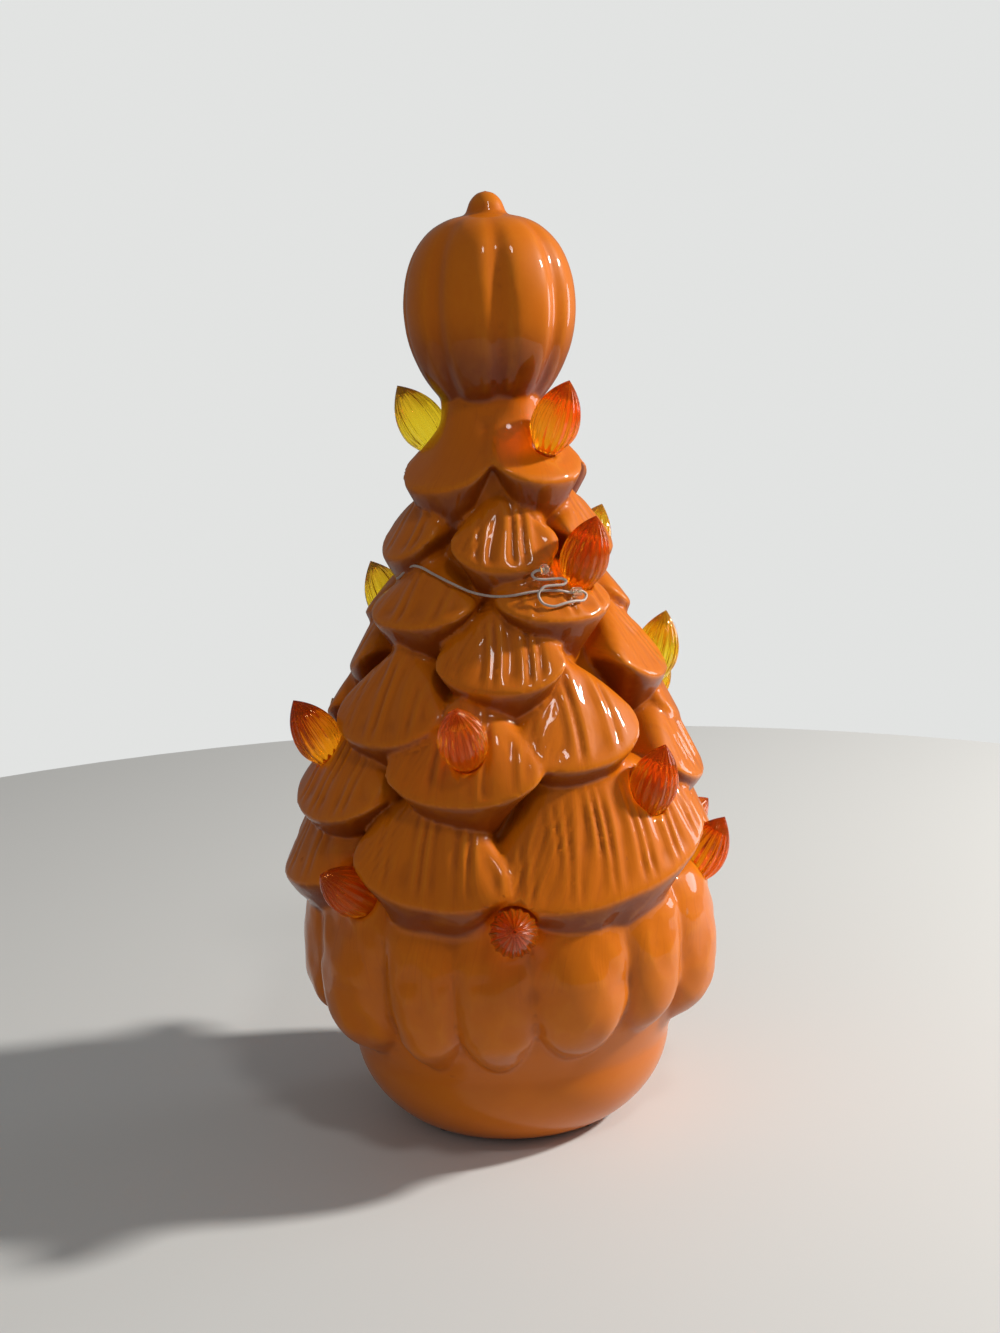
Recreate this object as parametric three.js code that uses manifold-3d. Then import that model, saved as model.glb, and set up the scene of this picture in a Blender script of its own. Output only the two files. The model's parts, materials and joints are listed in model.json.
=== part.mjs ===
// Ceramic halloween tree: a hollow glazed ceramic tree with a pumpkin on top, plastic light bulbs pegged
// into its branches, and a small battery light unit in its foot. Millimetres, +Z up, the tree stands on
// z = 0 with its axis on the Z axis, and its front faces -Y.

import * as THREE from 'three';
import { mergeVertices } from 'three/addons/utils/BufferGeometryUtils.js';
import Module from 'manifold-3d';

const wasm = await Module();
wasm.setup();

// Driving dimensions: fits and walls
const clearance = 0.3;
const ceramicWall = 4;
const cutOverrun = 1;
const leastRadius = 1;
const roundSides = 24;
const mediumSides = 16;
const smallSides = 12;
const domeSteps = 3;

// Driving dimensions: foot and pot
const padThickness = 0.8;
const padRadius = 1.9;
const padCount = 4;
const footRadius = 21.2;
const potHeight = 20;
const potBellyRadius = 31.9;
const potBellyHeight = 17;
const potRimRadius = 33;
const footCurve = 1.6;
const footSteps = 4;

// Driving dimensions: the plain body under the branches
const skirtUnderHeight = 27;
const skirtUnderRadius = 36;
const skirtBellyHeight = 35;
const skirtTopHeight = 47;
const skirtCoreRadius = 38;
const crownHeight = 118;
const crownRadius = 14;
const flareRise = 12;
const flareRadius = 13.2;
const neckCurveRise = 18.6;
const neckCurveRadius = 10.8;
const neckLength = 23;
const neckRadius = 9.8;
const coreSides = 28;
const hollowSides = 16;
const hollowCorner = 3;
const hollowCornerSet = 2;

// Driving dimensions: pumpkin and stem
const pumpkinRadius = 16.6;
const pumpkinSeat = 3;
const pumpkinLower = 22.5;
const pumpkinUpper = 17.1;
const pumpkinLowFullness = 0.9;
const pumpkinHighFullness = 0.8;
const pumpkinRibs = 8;
const pumpkinRibSides = 4;
const pumpkinRows = 10;
const pumpkinGrooveTurn = 7;
const pumpkinGrooveDepth = 1.1;
const pumpkinGrooveSharpness = 4;
const pumpkinHollowHalf = 4;
const pumpkinHollowCrown = 1.5;
const stemRadius = 3.7;
const stemFlare = 0.6;
const stemSunk = 3;
const stemHeight = 4.4;

// The neck stands on the crown, and the pumpkin sits down over the neck's end and carries the stem
const flareHeight = crownHeight + flareRise;
const neckCurveHeight = crownHeight + neckCurveRise;
const neckHeight = crownHeight + neckLength;
const pumpkinBottom = neckHeight - pumpkinSeat;
const pumpkinMiddle = pumpkinBottom + pumpkinLower;
const pumpkinTop = pumpkinMiddle + pumpkinUpper;
const pumpkinHollowTop = pumpkinTop - ceramicWall - pumpkinHollowCrown;
const stemTop = pumpkinTop + stemHeight;

// Driving dimensions: branches
const branchSides = 8;
const branchRows = 7;
const branchLipRow = 4;
const branchRoot = 2;
const topLipDrop = 13.5;
const topLowDrop = 22;
const cornerSharpness = 3;
const poleGap = 1e-6;

// The top row hangs from the neck. Each row has the height and the reach from the axis of a branch's peak,
// its lip and the low point under the lip. Each branch in it has its turn from the front and its half width,
// both in degrees, and where the hand-made row is uneven, how far its lip is raised or pushed out.
const branchTiers = [
  {
    peakHeight: neckHeight,
    peakReach: 9.6,
    lipHeight: neckHeight - topLipDrop,
    lipReach: 19.5,
    lowHeight: neckHeight - topLowDrop,
    lowReach: 13,
    peakWidth: 0.5,
    branches: [
      { turn: -43, halfWidth: 42 },
      { turn: 37, halfWidth: 41, raised: 1.2 },
      { turn: 130, halfWidth: 46 },
      { turn: -138, halfWidth: 46 },
    ],
  },
  {
    peakHeight: 125,
    peakReach: 13,
    lipHeight: 113,
    lipReach: 23,
    lowHeight: 106,
    lowReach: 17,
    branches: [
      { turn: 5, halfWidth: 32 },
      { turn: 72, halfWidth: 32, raised: 1.5 },
      { turn: 146, halfWidth: 34 },
      { turn: -142, halfWidth: 34 },
      { turn: -67, halfWidth: 32, raised: 1.5 },
    ],
  },
  {
    peakHeight: 114,
    peakReach: 17,
    lipHeight: 103,
    lipReach: 28.5,
    lowHeight: 95,
    lowReach: 21,
    branches: [
      { turn: -43, halfWidth: 32 },
      { turn: 29, halfWidth: 32, raised: 1 },
      { turn: 112, halfWidth: 30, raised: -1, pushed: -1.5 },
      { turn: -176, halfWidth: 33 },
      { turn: -114, halfWidth: 30, raised: -1.5, pushed: -1 },
    ],
  },
  {
    peakHeight: 106,
    peakReach: 20,
    lipHeight: 92,
    lipReach: 32,
    lowHeight: 84,
    lowReach: 25,
    branches: [
      { turn: 0, halfWidth: 26 },
      { turn: 76, halfWidth: 28, raised: -1.5, pushed: 1 },
      { turn: 142, halfWidth: 28 },
      { turn: -150, halfWidth: 28, raised: -1 },
      { turn: -96, halfWidth: 27, pushed: -2 },
    ],
  },
  {
    peakHeight: 98,
    peakReach: 24,
    lipHeight: 80,
    lipReach: 36.5,
    lowHeight: 74,
    lowReach: 29,
    branches: [
      { turn: -45, halfWidth: 25, raised: 2 },
      { turn: 27, halfWidth: 26, raised: -2, pushed: 1 },
      { turn: 97, halfWidth: 26, pushed: -1 },
      { turn: 168, halfWidth: 28 },
      { turn: -114, halfWidth: 26 },
    ],
  },
  {
    peakHeight: 89.5,
    peakReach: 28,
    lipHeight: 70,
    lipReach: 40,
    lowHeight: 64.5,
    lowReach: 33,
    branches: [
      { turn: -63, halfWidth: 26, raised: -3, pushed: 2.5 },
      { turn: -13, halfWidth: 25, raised: 3 },
      { turn: 82, halfWidth: 25 },
      { turn: 131, halfWidth: 25, raised: 1 },
      { turn: -178, halfWidth: 27 },
      { turn: -122, halfWidth: 27 },
    ],
  },
  {
    peakHeight: 76,
    peakReach: 32,
    lipHeight: 55,
    lipReach: 43.5,
    lowHeight: 48,
    lowReach: 37,
    branches: [
      { turn: -72, halfWidth: 25, raised: -1.5, pushed: 2.5 },
      { turn: -22, halfWidth: 24 },
      { turn: 32, halfWidth: 38 },
      { turn: 107, halfWidth: 28, pushed: -1.5 },
      { turn: 158, halfWidth: 27 },
      { turn: -152, halfWidth: 26 },
      { turn: -110, halfWidth: 22 },
    ],
  },
];

// Driving dimensions: hanging lobes of the skirt
const lobeCount = 14;
const lobeTurn = -5.5;
const lobeHalfWidth = 15;
const lobeTopHeight = 54;
const lobeTopReach = 37;
const lobeBulgeHeight = 38;
const lobeBulgeReach = 42.3;
const lobeLowHeight = 19.5;
const lobeLowReach = 33;
const lobeSides = 8;
const lobeRows = 5;
const lobeBulgeRow = 2;

// Driving dimensions: bulbs
const bulbRadius = 4.6;
const bulbLength = 14.2;
const bulbWidestHeight = 5.1;
const bulbPointedness = 2.2;
const bulbBaseRadius = 2.5;
const bulbSeatDepth = 0.9;
const bulbLowSteps = 2;
const bulbHighSteps = 3;
const bulbSides = 8;
const dishHeight = 3.8;
const pegRadius = 1.7;
const pegLength = 6.5;
const lightWayRadius = 0.75;
const holeOverrun = 2;
const holeSides = 7;

const topBulbDrop = 6;
const backBulbDrop = 4.5;

// Each bulb: its turn from the front, the height of its seat, and how far it leans up from level.
const bulbSeats = [
  { turn: -98, height: neckHeight - topBulbDrop, lean: 58 },
  { turn: 43, height: neckHeight - topBulbDrop, lean: 63 },
  { turn: 126, height: 109, lean: 62 },
  { turn: 43, height: 110, lean: 68 },
  { turn: -121.5, height: 99, lean: 61 },
  { turn: 103, height: 87, lean: 74 },
  { turn: -73, height: 76.5, lean: 60 },
  { turn: -128, height: 69.5, lean: 50 },
  { turn: -11, height: 81, lean: 54 },
  { turn: 48, height: 68, lean: 70 },
  { turn: 79, height: 49.5, lean: 60 },
  { turn: -47, height: 51.5, lean: 36 },
  { turn: 1, height: 49, lean: 21 },
  { turn: 175, height: neckHeight - backBulbDrop, lean: 46 },
  { turn: 163, height: 106, lean: 55 },
  { turn: -150, height: 117, lean: 55 },
  { turn: 151, height: 92, lean: 50 },
  { turn: -175, height: 82.5, lean: 45 },
  { turn: 128, height: 78, lean: 45 },
  { turn: -146, height: 64, lean: 50 },
  { turn: 158, height: 64, lean: 50 },
  { turn: 120, height: 49, lean: 30 },
  { turn: 176, height: 50.5, lean: 16 },
];

const yellowBulbs = [1, 3, 5, 6, 8, 16, 19];

// Driving dimensions: light unit in the foot
const unitRadius = 15;
const unitWall = 1.2;
const unitBottom = 2;
const unitTop = 19.5;
const unitPlate = 2.2;
const gasketThickness = 1.2;
const gasketHeight = 4.6;
const footHoleDepth = 5;
const cellRadius = 5.8;
const cellLength = 5.2;
const cellCount = 3;
const cellOffset = 3.3;
const trayWall = 0.8;
const contactThickness = 0.4;
const contactWidth = 7;
const contactHeight = 9;
const boardRadius = 12.8;
const boardThickness = 1;
const ledRadius = 2.5;
const ledSide = 3.6;
const ledHeight = 6;
const lensRadius = 6;
const lensWall = 0.9;
const lensSide = 3.4;
const lensHeight = 8.5;
const doorThickness = 1.2;
const doorMargin = 1;
const earRadius = 2.4;
const screwOffset = 4.5;
const screwShankRadius = 0.85;
const screwHeadRadius = 1.6;
const screwHeadThickness = 0.7;
const screwLength = 4;
const screwSlotWidth = 0.5;
const screwSlotDepth = 0.35;
const bossHeight = 2.3;
const switchOffset = 9.2;
const switchTravel = 2.5;
const knobLength = 3;
const knobWidth = 2.2;
const knobHeight = 3;
const switchBodyLength = 8;
const switchBodyWidth = 4;
const switchBodyHeight = 3.5;

// Driving dimensions: tag string, its lock and its beads
const stringRadius = 0.25;
const stringSides = 8;
const stringSteps = 66;
const loopSteps = 46;
const lockRadius = 0.9;
const lockLength = 1.8;
const beadRadius = 1;
const beadRows = 8;

// The string's way from the bead behind the tree, round its left side and over the front, to the lock.
// Each place has its turn from the front, its height and its distance from the axis.
const lockPlace = [34.1, 108.5, 25.7];
const stringRoute = [
  [-178, 96.6, 29.4],
  [-178, 99.5, 29.5],
  [-178, 102, 29.6],
  [-178, 103.9, 29.2],
  [-178, 105.8, 27.3],
  [-178, 108, 25],
  [-177, 110.2, 22.8],
  [-172, 111.8, 21.2],
  [-164, 111.6, 21],
  [-156, 110.9, 21.2],
  [-148, 110, 21],
  [-140, 109.8, 21.1],
  [-132, 110.1, 20.7],
  [-124, 110.8, 20.2],
  [-116, 111.6, 19.6],
  [-106, 112, 18.8],
  [-94, 111.6, 18.3],
  [-82, 110.9, 18.6],
  [-74, 110.2, 19.6],
  [-66, 110.3, 21],
  [-60, 110.9, 21.4],
  [-54.7, 112.3, 21.1],
  [-49.4, 113.3, 21.1],
  [-43.5, 113.2, 20.9],
  [-34.2, 112, 20.9],
  [-23.5, 110.7, 21.7],
  [-14.3, 109.2, 21.6],
  [-5.9, 108.5, 22.1],
  [1, 108.4, 23.2],
  [7, 108.7, 24.3],
  [13.5, 109.1, 24.5],
  [20.9, 109.2, 24.6],
  [27, 109, 25.4],
];

// The short string from the lock: down and back in a small loop, then up to its bead.
const loopRoute = [
  [38.2, 107.8, 26.2],
  [36.2, 107, 26.6],
  [31.2, 107.1, 26.9],
  [27.1, 107, 27.1],
  [21.5, 106.6, 27.1],
  [17.6, 107.3, 26.4],
  [16.4, 108.8, 25.9],
  [18.8, 110, 25.6],
  [23.7, 110.2, 25.6],
  [28, 110.2, 25.6],
  [29.5, 110.7, 25.4],
  [28, 111.2, 25.2],
  [24.2, 111.3, 25],
  [20.2, 111.3, 24.8],
  [16.1, 111.6, 24.5],
  [14.9, 112.3, 24.4],
  [16.6, 112.9, 24.3],
];
const beadPlace = [20.6, 113.1, 24.3];

// Colours and finishes
const finishes = {
  glaze: { color: 0xc8640f, roughness: 0.12, metalness: 0 },
  amberPlastic: { color: 0xf27a12, roughness: 0.15, metalness: 0 },
  yellowPlastic: { color: 0xf2b81e, roughness: 0.15, metalness: 0 },
  foam: { color: 0x2b2724, roughness: 0.95, metalness: 0 },
  rubber: { color: 0xd8d6d0, roughness: 0.7, metalness: 0 },
  whitePlastic: { color: 0xe9e6df, roughness: 0.45, metalness: 0 },
  blackPlastic: { color: 0x1d1d1f, roughness: 0.5, metalness: 0 },
  clearPlastic: { color: 0xf3efe2, roughness: 0.1, metalness: 0 },
  board: { color: 0x2f6b3c, roughness: 0.5, metalness: 0.1 },
  steel: { color: 0xc9c9c6, roughness: 0.3, metalness: 1 },
  string: { color: 0xbdb5b0, roughness: 0.4, metalness: 0.2 },
};

const tree = new THREE.Group();

function addPart(name, geometry, finish) {
  const mesh = new THREE.Mesh(geometry, new THREE.MeshStandardMaterial(finishes[finish]));
  mesh.name = name;
  tree.add(mesh);
  return mesh;
}

// Joining and cutting
function toSolid(geometry) {
  const bare = geometry.clone();
  bare.deleteAttribute('normal');
  bare.deleteAttribute('uv');
  const merged = mergeVertices(bare, 1e-4);
  return new wasm.Manifold(new wasm.Mesh({
    numProp: 3,
    vertProperties: new Float32Array(merged.attributes.position.array),
    triVerts: new Uint32Array(merged.index.array),
  }));
}

function toGeometry(solid) {
  const mesh = solid.getMesh();
  const geometry = new THREE.BufferGeometry();
  geometry.setAttribute('position', new THREE.BufferAttribute(new Float32Array(mesh.vertProperties), 3));
  geometry.setIndex(new THREE.BufferAttribute(new Uint32Array(mesh.triVerts), 1));
  return geometry;
}

function join(solids) {
  return solids.reduce((sum, solid) => sum.add(solid));
}

// Basic shapes, all standing along +Z
function lathe(points, sides = roundSides) {
  const outline = points.map(([radius, height]) => new THREE.Vector2(radius, height));
  return new THREE.LatheGeometry(outline, sides).rotateX(Math.PI / 2);
}

function disc(radius, bottom, top, sides = roundSides) {
  return lathe([[0, bottom], [radius, bottom], [radius, top], [0, top]], sides);
}

function ring(inner, outer, bottom, top, sides = roundSides) {
  return lathe([[inner, bottom], [outer, bottom], [outer, top], [inner, top], [inner, bottom]], sides);
}

function block(length, width, height, x, y, bottom) {
  return new THREE.BoxGeometry(length, width, height).translate(x, y, bottom + height / 2);
}

function mix(from, to, share) {
  return from + (to - from) * share;
}

// Points of a domed end, from its edge at one height to the axis at another
function domed(radius, from, to) {
  return Array.from({ length: domeSteps + 1 }, (_, i) => {
    const angle = i / domeSteps * Math.PI / 2;
    return [i === domeSteps ? 0 : radius * Math.cos(angle), mix(from, to, Math.sin(angle))];
  });
}

// Foot, pot, core and neck: one outline, turned. The foot curves out into the pot's belly.
const footOutline = Array.from({ length: footSteps + 1 }, (_, i) => {
  const angle = i / footSteps * Math.PI / 2;
  const out = Math.pow(Math.sin(angle), footCurve);
  return [mix(footRadius, potBellyRadius, out), mix(potBellyHeight, padThickness, Math.cos(angle))];
});

const coreOutline = [
  ...footOutline,
  [potRimRadius, potHeight],
  [skirtUnderRadius, skirtUnderHeight],
  [skirtCoreRadius, skirtBellyHeight],
  [skirtCoreRadius, skirtTopHeight],
  [crownRadius, crownHeight],
  [flareRadius, flareHeight],
  [neckCurveRadius, neckCurveHeight],
  [neckRadius, neckHeight],
  [neckRadius, pumpkinMiddle],
];

function coreRadius(height) {
  for (let i = 1; i < coreOutline.length; i += 1) {
    const [lowRadius, low] = coreOutline[i - 1];
    const [highRadius, high] = coreOutline[i];
    if (height <= high) return mix(lowRadius, highRadius, Math.max(0, (height - low) / (high - low)));
  }
  return neckRadius;
}

function core() {
  return lathe([[0, padThickness], ...coreOutline, [0, pumpkinMiddle]], coreSides);
}

// A branch or lobe is a closed shell on the turned body. Its rows run from the peak, over the lip, to
// the low point under the lip, and its front half bulges out from the body while its back is buried.
function bulge(shape, turn) {
  const geometry = new THREE.SphereGeometry(1, shape.sides, shape.rows);
  const place = geometry.attributes.position;
  const unit = new THREE.Vector3();
  const centre = THREE.MathUtils.degToRad(turn);
  const halfWidth = THREE.MathUtils.degToRad(shape.halfWidth);
  for (let i = 0; i < place.count; i += 1) {
    unit.fromBufferAttribute(place, i);
    const row = Math.acos(THREE.MathUtils.clamp(unit.y, -1, 1)) / Math.PI;
    const around = Math.atan2(unit.z, unit.x);
    const onTop = row <= shape.lipRow;
    const run = onTop ? row / shape.lipRow : (row - shape.lipRow) / (1 - shape.lipRow);
    const height = onTop
      ? mix(shape.peakHeight, shape.lipHeight, run)
      : mix(shape.lipHeight, shape.lowHeight, run);
    const reach = onTop
      ? mix(shape.peakReach, shape.lipReach, Math.pow(run, shape.crown))
      : mix(shape.lipReach, shape.lowReach, Math.pow(run, shape.under));
    const width = onTop
      ? mix(shape.peakWidth, 1, Math.sin(Math.min(1, run / shape.widest) * Math.PI / 2))
        * (run > shape.widest ? mix(1, shape.lipWidth, (run - shape.widest) / (1 - shape.widest)) : 1)
      : shape.lipWidth * mix(1, shape.lowWidth, run);
    const side = -Math.sin(around);
    const front = Math.cos(around);
    const root = coreRadius(height) - branchRoot;
    const closed = row < poleGap || row > 1 - poleGap;
    const out = front > 0
      ? mix(root, reach, Math.pow(front, shape.boxy))
      : root + front * branchRoot;
    const turned = centre + (closed ? 0 : halfWidth * width * side);
    const lift = shape.cornerLift * Math.pow(Math.abs(side), cornerSharpness) * Math.sin(row * Math.PI);
    const radius = closed ? reach : Math.max(leastRadius, out);
    place.setXYZ(i, radius * Math.sin(turned), -radius * Math.cos(turned), height + lift);
  }
  return geometry;
}

const branchShape = {
  sides: branchSides,
  rows: branchRows,
  lipRow: branchLipRow / branchRows,
  crown: 0.85,
  under: 0.8,
  peakWidth: 0,
  widest: 0.7,
  lipWidth: 0.86,
  lowWidth: 0.35,
  boxy: 0.55,
  cornerLift: 2.5,
};

function branchOf(tier, { halfWidth, raised = 0, pushed = 0 }) {
  return {
    ...branchShape,
    ...tier,
    halfWidth,
    peakHeight: tier.peakHeight + raised,
    lipHeight: tier.lipHeight + raised,
    lowHeight: tier.lowHeight + raised,
    lipReach: tier.lipReach + pushed,
  };
}

const lobeShape = {
  halfWidth: lobeHalfWidth,
  peakHeight: lobeTopHeight,
  peakReach: lobeTopReach,
  lipHeight: lobeBulgeHeight,
  lipReach: lobeBulgeReach,
  lowHeight: lobeLowHeight,
  lowReach: lobeLowReach,
  sides: lobeSides,
  rows: lobeRows,
  lipRow: lobeBulgeRow / lobeRows,
  crown: 0.5,
  under: 1.6,
  peakWidth: 0.85,
  widest: 0.5,
  lipWidth: 1,
  lowWidth: 0.8,
  boxy: 0.6,
  cornerLift: 0,
};

function pumpkin() {
  const geometry = new THREE.SphereGeometry(1, pumpkinRibs * pumpkinRibSides, pumpkinRows);
  const place = geometry.attributes.position;
  const unit = new THREE.Vector3();
  const groove = THREE.MathUtils.degToRad(pumpkinGrooveTurn);
  for (let i = 0; i < place.count; i += 1) {
    unit.fromBufferAttribute(place, i);
    const turn = Math.atan2(unit.x, unit.z);
    const level = Math.hypot(unit.x, unit.z);
    const valley = Math.pow(Math.abs(Math.cos((turn - groove) * pumpkinRibs / 2)), pumpkinGrooveSharpness);
    const below = unit.y < 0;
    const full = Math.pow(level, below ? pumpkinLowFullness : pumpkinHighFullness);
    const radius = full * pumpkinRadius - valley * pumpkinGrooveDepth * level;
    const height = mix(pumpkinMiddle, below ? pumpkinBottom : pumpkinTop, Math.abs(unit.y));
    place.setXYZ(i, radius * Math.sin(turn), -radius * Math.cos(turn), height);
  }
  return geometry;
}

function stem() {
  const bottom = pumpkinTop - stemSunk;
  const outline = [[0, bottom], [stemRadius + stemFlare, bottom], ...domed(stemRadius, pumpkinTop, stemTop)];
  return lathe(outline, smallSides);
}

// The hollow inside follows the body at one wall's depth, and is wide enough below for the light unit.
const gasketRadius = unitRadius + clearance + gasketThickness;
const footHoleRadius = gasketRadius + clearance;

function hollow() {
  const floor = padThickness + footHoleDepth;
  const corner = floor + hollowCorner;
  const inside = (height) => coreRadius(height) - ceramicWall;
  const steps = [corner, potHeight - ceramicWall, skirtUnderHeight, skirtTopHeight, crownHeight, neckHeight];
  const pumpkinInside = pumpkinRadius - pumpkinGrooveDepth - ceramicWall;
  return lathe([
    [0, floor],
    [inside(corner) - hollowCornerSet, floor],
    ...steps.map((height) => [inside(height), height]),
    [pumpkinInside, pumpkinMiddle - pumpkinHollowHalf],
    [pumpkinInside, pumpkinMiddle + pumpkinHollowHalf],
    [neckRadius - ceramicWall, pumpkinHollowTop],
    [0, pumpkinHollowTop],
  ], hollowSides);
}

function castBody() {
  const solids = [toSolid(core()), toSolid(pumpkin()), toSolid(stem())];
  for (const tier of branchTiers) {
    for (const branch of tier.branches) solids.push(toSolid(bulge(branchOf(tier, branch), branch.turn)));
  }
  for (let i = 0; i < lobeCount; i += 1) {
    solids.push(toSolid(bulge(lobeShape, lobeTurn + i * 360 / lobeCount)));
  }
  const holeTop = padThickness + footHoleDepth + cutOverrun;
  const footHole = toSolid(disc(footHoleRadius, padThickness - cutOverrun, holeTop));
  return join(solids).subtract(toSolid(hollow())).subtract(footHole);
}

// Bulbs: the peg's line starts where the body's surface is, and leans up and out from it
function seatOf(body, seat) {
  const turn = THREE.MathUtils.degToRad(seat.turn);
  const lean = THREE.MathUtils.degToRad(seat.lean);
  const level = new THREE.Vector3(Math.sin(turn), -Math.cos(turn), 0);
  const start = level.clone().multiplyScalar(2 * lobeBulgeReach).setZ(seat.height);
  const hit = new THREE.Raycaster(start, level.clone().negate()).intersectObject(body)[0];
  const along = level.clone().multiplyScalar(Math.cos(lean)).setZ(Math.sin(lean));
  const point = hit.point.clone().addScaledVector(along, -bulbSeatDepth);
  const upright = new THREE.Quaternion().setFromUnitVectors(new THREE.Vector3(0, 0, 1), along);
  return { point, along, upright };
}

function moved(geometry, seat) {
  return geometry.applyQuaternion(seat.upright).translate(seat.point.x, seat.point.y, seat.point.z);
}

// The flame swells from its foot to its widest place, and narrows from there to its tip
function bulbOutline() {
  const outline = [];
  for (let i = 0; i < bulbLowSteps; i += 1) {
    const share = i / bulbLowSteps;
    const swell = Math.sin(share * Math.PI / 2);
    outline.push([mix(bulbBaseRadius, bulbRadius, swell), share * bulbWidestHeight]);
  }
  for (let i = 0; i < bulbHighSteps; i += 1) {
    const share = i / bulbHighSteps;
    const radius = bulbRadius * (1 - Math.pow(share, bulbPointedness));
    outline.push([radius, mix(bulbWidestHeight, bulbLength, share)]);
  }
  return outline;
}

function bulb() {
  return lathe([
    [0, -pegLength],
    [pegRadius, -pegLength],
    [pegRadius, 0],
    ...bulbOutline(),
    [0, bulbLength],
  ], bulbSides);
}

// The hole for a bulb: a way for the peg, and a shallow dish that the foot of the bulb sits in
function bulbHole() {
  const flats = 1 / Math.cos(Math.PI / holeSides);
  const hole = (pegRadius + clearance) * flats;
  const pocket = (bulbBaseRadius + clearance) * flats;
  const dish = (bulbRadius + clearance) * flats;
  return lathe([
    [0, -pegLength - clearance],
    [hole, -pegLength - clearance],
    [hole, -clearance],
    [pocket, -clearance],
    [dish, dishHeight],
    [dish, bulbLength / 2],
    [0, bulbLength / 2],
  ], holeSides);
}

// The way for the light: level, from the peg's end to the hollow
function lightWay(seat) {
  const end = seat.point.clone().addScaledVector(seat.along, -pegLength);
  const reach = Math.hypot(end.x, end.y);
  const length = Math.max(holeOverrun, reach - coreRadius(end.z) + ceramicWall + holeOverrun);
  const way = new THREE.CylinderGeometry(lightWayRadius, lightWayRadius, length, holeSides);
  const inward = Math.atan2(end.y, end.x) + Math.PI / 2;
  return way.translate(0, length / 2, 0).rotateZ(inward).translate(end.x, end.y, end.z);
}

const blank = castBody();
const blankMesh = new THREE.Mesh(toGeometry(blank), new THREE.MeshBasicMaterial({ side: THREE.DoubleSide }));
const seats = bulbSeats.map((seat) => seatOf(blankMesh, seat));
const holes = join(seats.flatMap((seat) => [toSolid(moved(bulbHole(), seat)), toSolid(lightWay(seat))]));
addPart('ceramic_tree', toGeometry(blank.subtract(holes)), 'glaze');

seats.forEach((seat, i) => {
  const name = `bulb_${String(i + 1).padStart(2, '0')}`;
  addPart(name, moved(bulb(), seat), yellowBulbs.includes(i + 1) ? 'yellowPlastic' : 'amberPlastic');
});

// Foam feet under the foot ring
const padReach = (footRadius + footHoleRadius) / 2;
for (let i = 0; i < padCount; i += 1) {
  const turn = Math.PI / padCount + i * 2 * Math.PI / padCount;
  const pad = disc(padRadius, 0, padThickness, mediumSides);
  pad.translate(padReach * Math.sin(turn), -padReach * Math.cos(turn), 0);
  addPart(`foot_pad_${i + 1}`, pad, 'foam');
}

// Tag string
function placeAt([turn, height, reach]) {
  const angle = THREE.MathUtils.degToRad(turn);
  return new THREE.Vector3(reach * Math.sin(angle), -reach * Math.cos(angle), height);
}

function cord(places, steps) {
  const corners = Array.from({ length: stringSides }, (_, i) => {
    const angle = i * 2 * Math.PI / stringSides;
    return new THREE.Vector2(stringRadius * Math.cos(angle), stringRadius * Math.sin(angle));
  });
  const extrudePath = new THREE.CatmullRomCurve3(places);
  return new THREE.ExtrudeGeometry(new THREE.Shape(corners), { steps, extrudePath, bevelEnabled: false });
}

// A piece that a string's end sits in: turned round the string's own line, from where it stands
function threaded(solid, point, along) {
  const upright = new THREE.Quaternion().setFromUnitVectors(new THREE.Vector3(0, 0, 1), along);
  return toGeometry(solid).applyQuaternion(upright).translate(point.x, point.y, point.z);
}

const threadHole = stringRadius + clearance;
const lockAt = placeAt(lockPlace);
const lockFrom = placeAt(stringRoute.at(-1)).setZ(lockAt.z);
const lockLine = placeAt(loopRoute[0]).setZ(lockAt.z).sub(lockFrom).normalize();
const inLock = (distance) => lockAt.clone().addScaledVector(lockLine, distance);
const lockExit = lockLength / 2 + clearance;
const stringPlaces = [...stringRoute.map(placeAt), inLock(-lockExit), inLock(-clearance)];
addPart('tag_string', cord(stringPlaces, stringSteps), 'string');

const beadAt = placeAt(beadPlace);
const loopPlaces = [inLock(clearance), inLock(lockExit), ...loopRoute.map(placeAt), beadAt];
addPart('tag_loop', cord(loopPlaces, loopSteps), 'string');

const sleeve = ring(threadHole, lockRadius, -lockLength / 2, lockLength / 2, smallSides);
addPart('tag_lock', threaded(toSolid(sleeve), lockAt, lockLine), 'clearPlastic');

function bead(point, from) {
  const ball = toSolid(new THREE.SphereGeometry(beadRadius, smallSides, beadRows).rotateX(Math.PI / 2));
  const hole = toSolid(disc(threadHole, -clearance, 2 * beadRadius, stringSides));
  return threaded(ball.subtract(hole), point, from.clone().sub(point).normalize());
}

addPart('tag_bead', bead(beadAt, placeAt(loopRoute.at(-1))), 'clearPlastic');
addPart('tag_end_bead', bead(stringPlaces[0], stringPlaces[1]), 'clearPlastic');

// Light unit: gasket, housing and lens
addPart('light_gasket', ring(unitRadius + clearance, gasketRadius, padThickness + clearance,
  padThickness + clearance + gasketHeight), 'rubber');

const plateTop = unitBottom + unitPlate;
const housingBottom = plateTop + clearance;
const innerRadius = unitRadius - unitWall;
addPart('light_housing', lathe([
  [innerRadius, housingBottom],
  [unitRadius, housingBottom],
  [unitRadius, unitTop],
  [ledRadius + clearance, unitTop],
  [ledRadius + clearance, unitTop - unitWall],
  [innerRadius, unitTop - unitWall],
  [innerRadius, housingBottom],
]), 'whitePlastic');

function dome(radius, side, height, bottom) {
  const top = domed(radius, bottom + side, bottom + height);
  return lathe([[0, bottom], [radius, bottom], ...top], mediumSides);
}

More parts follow.
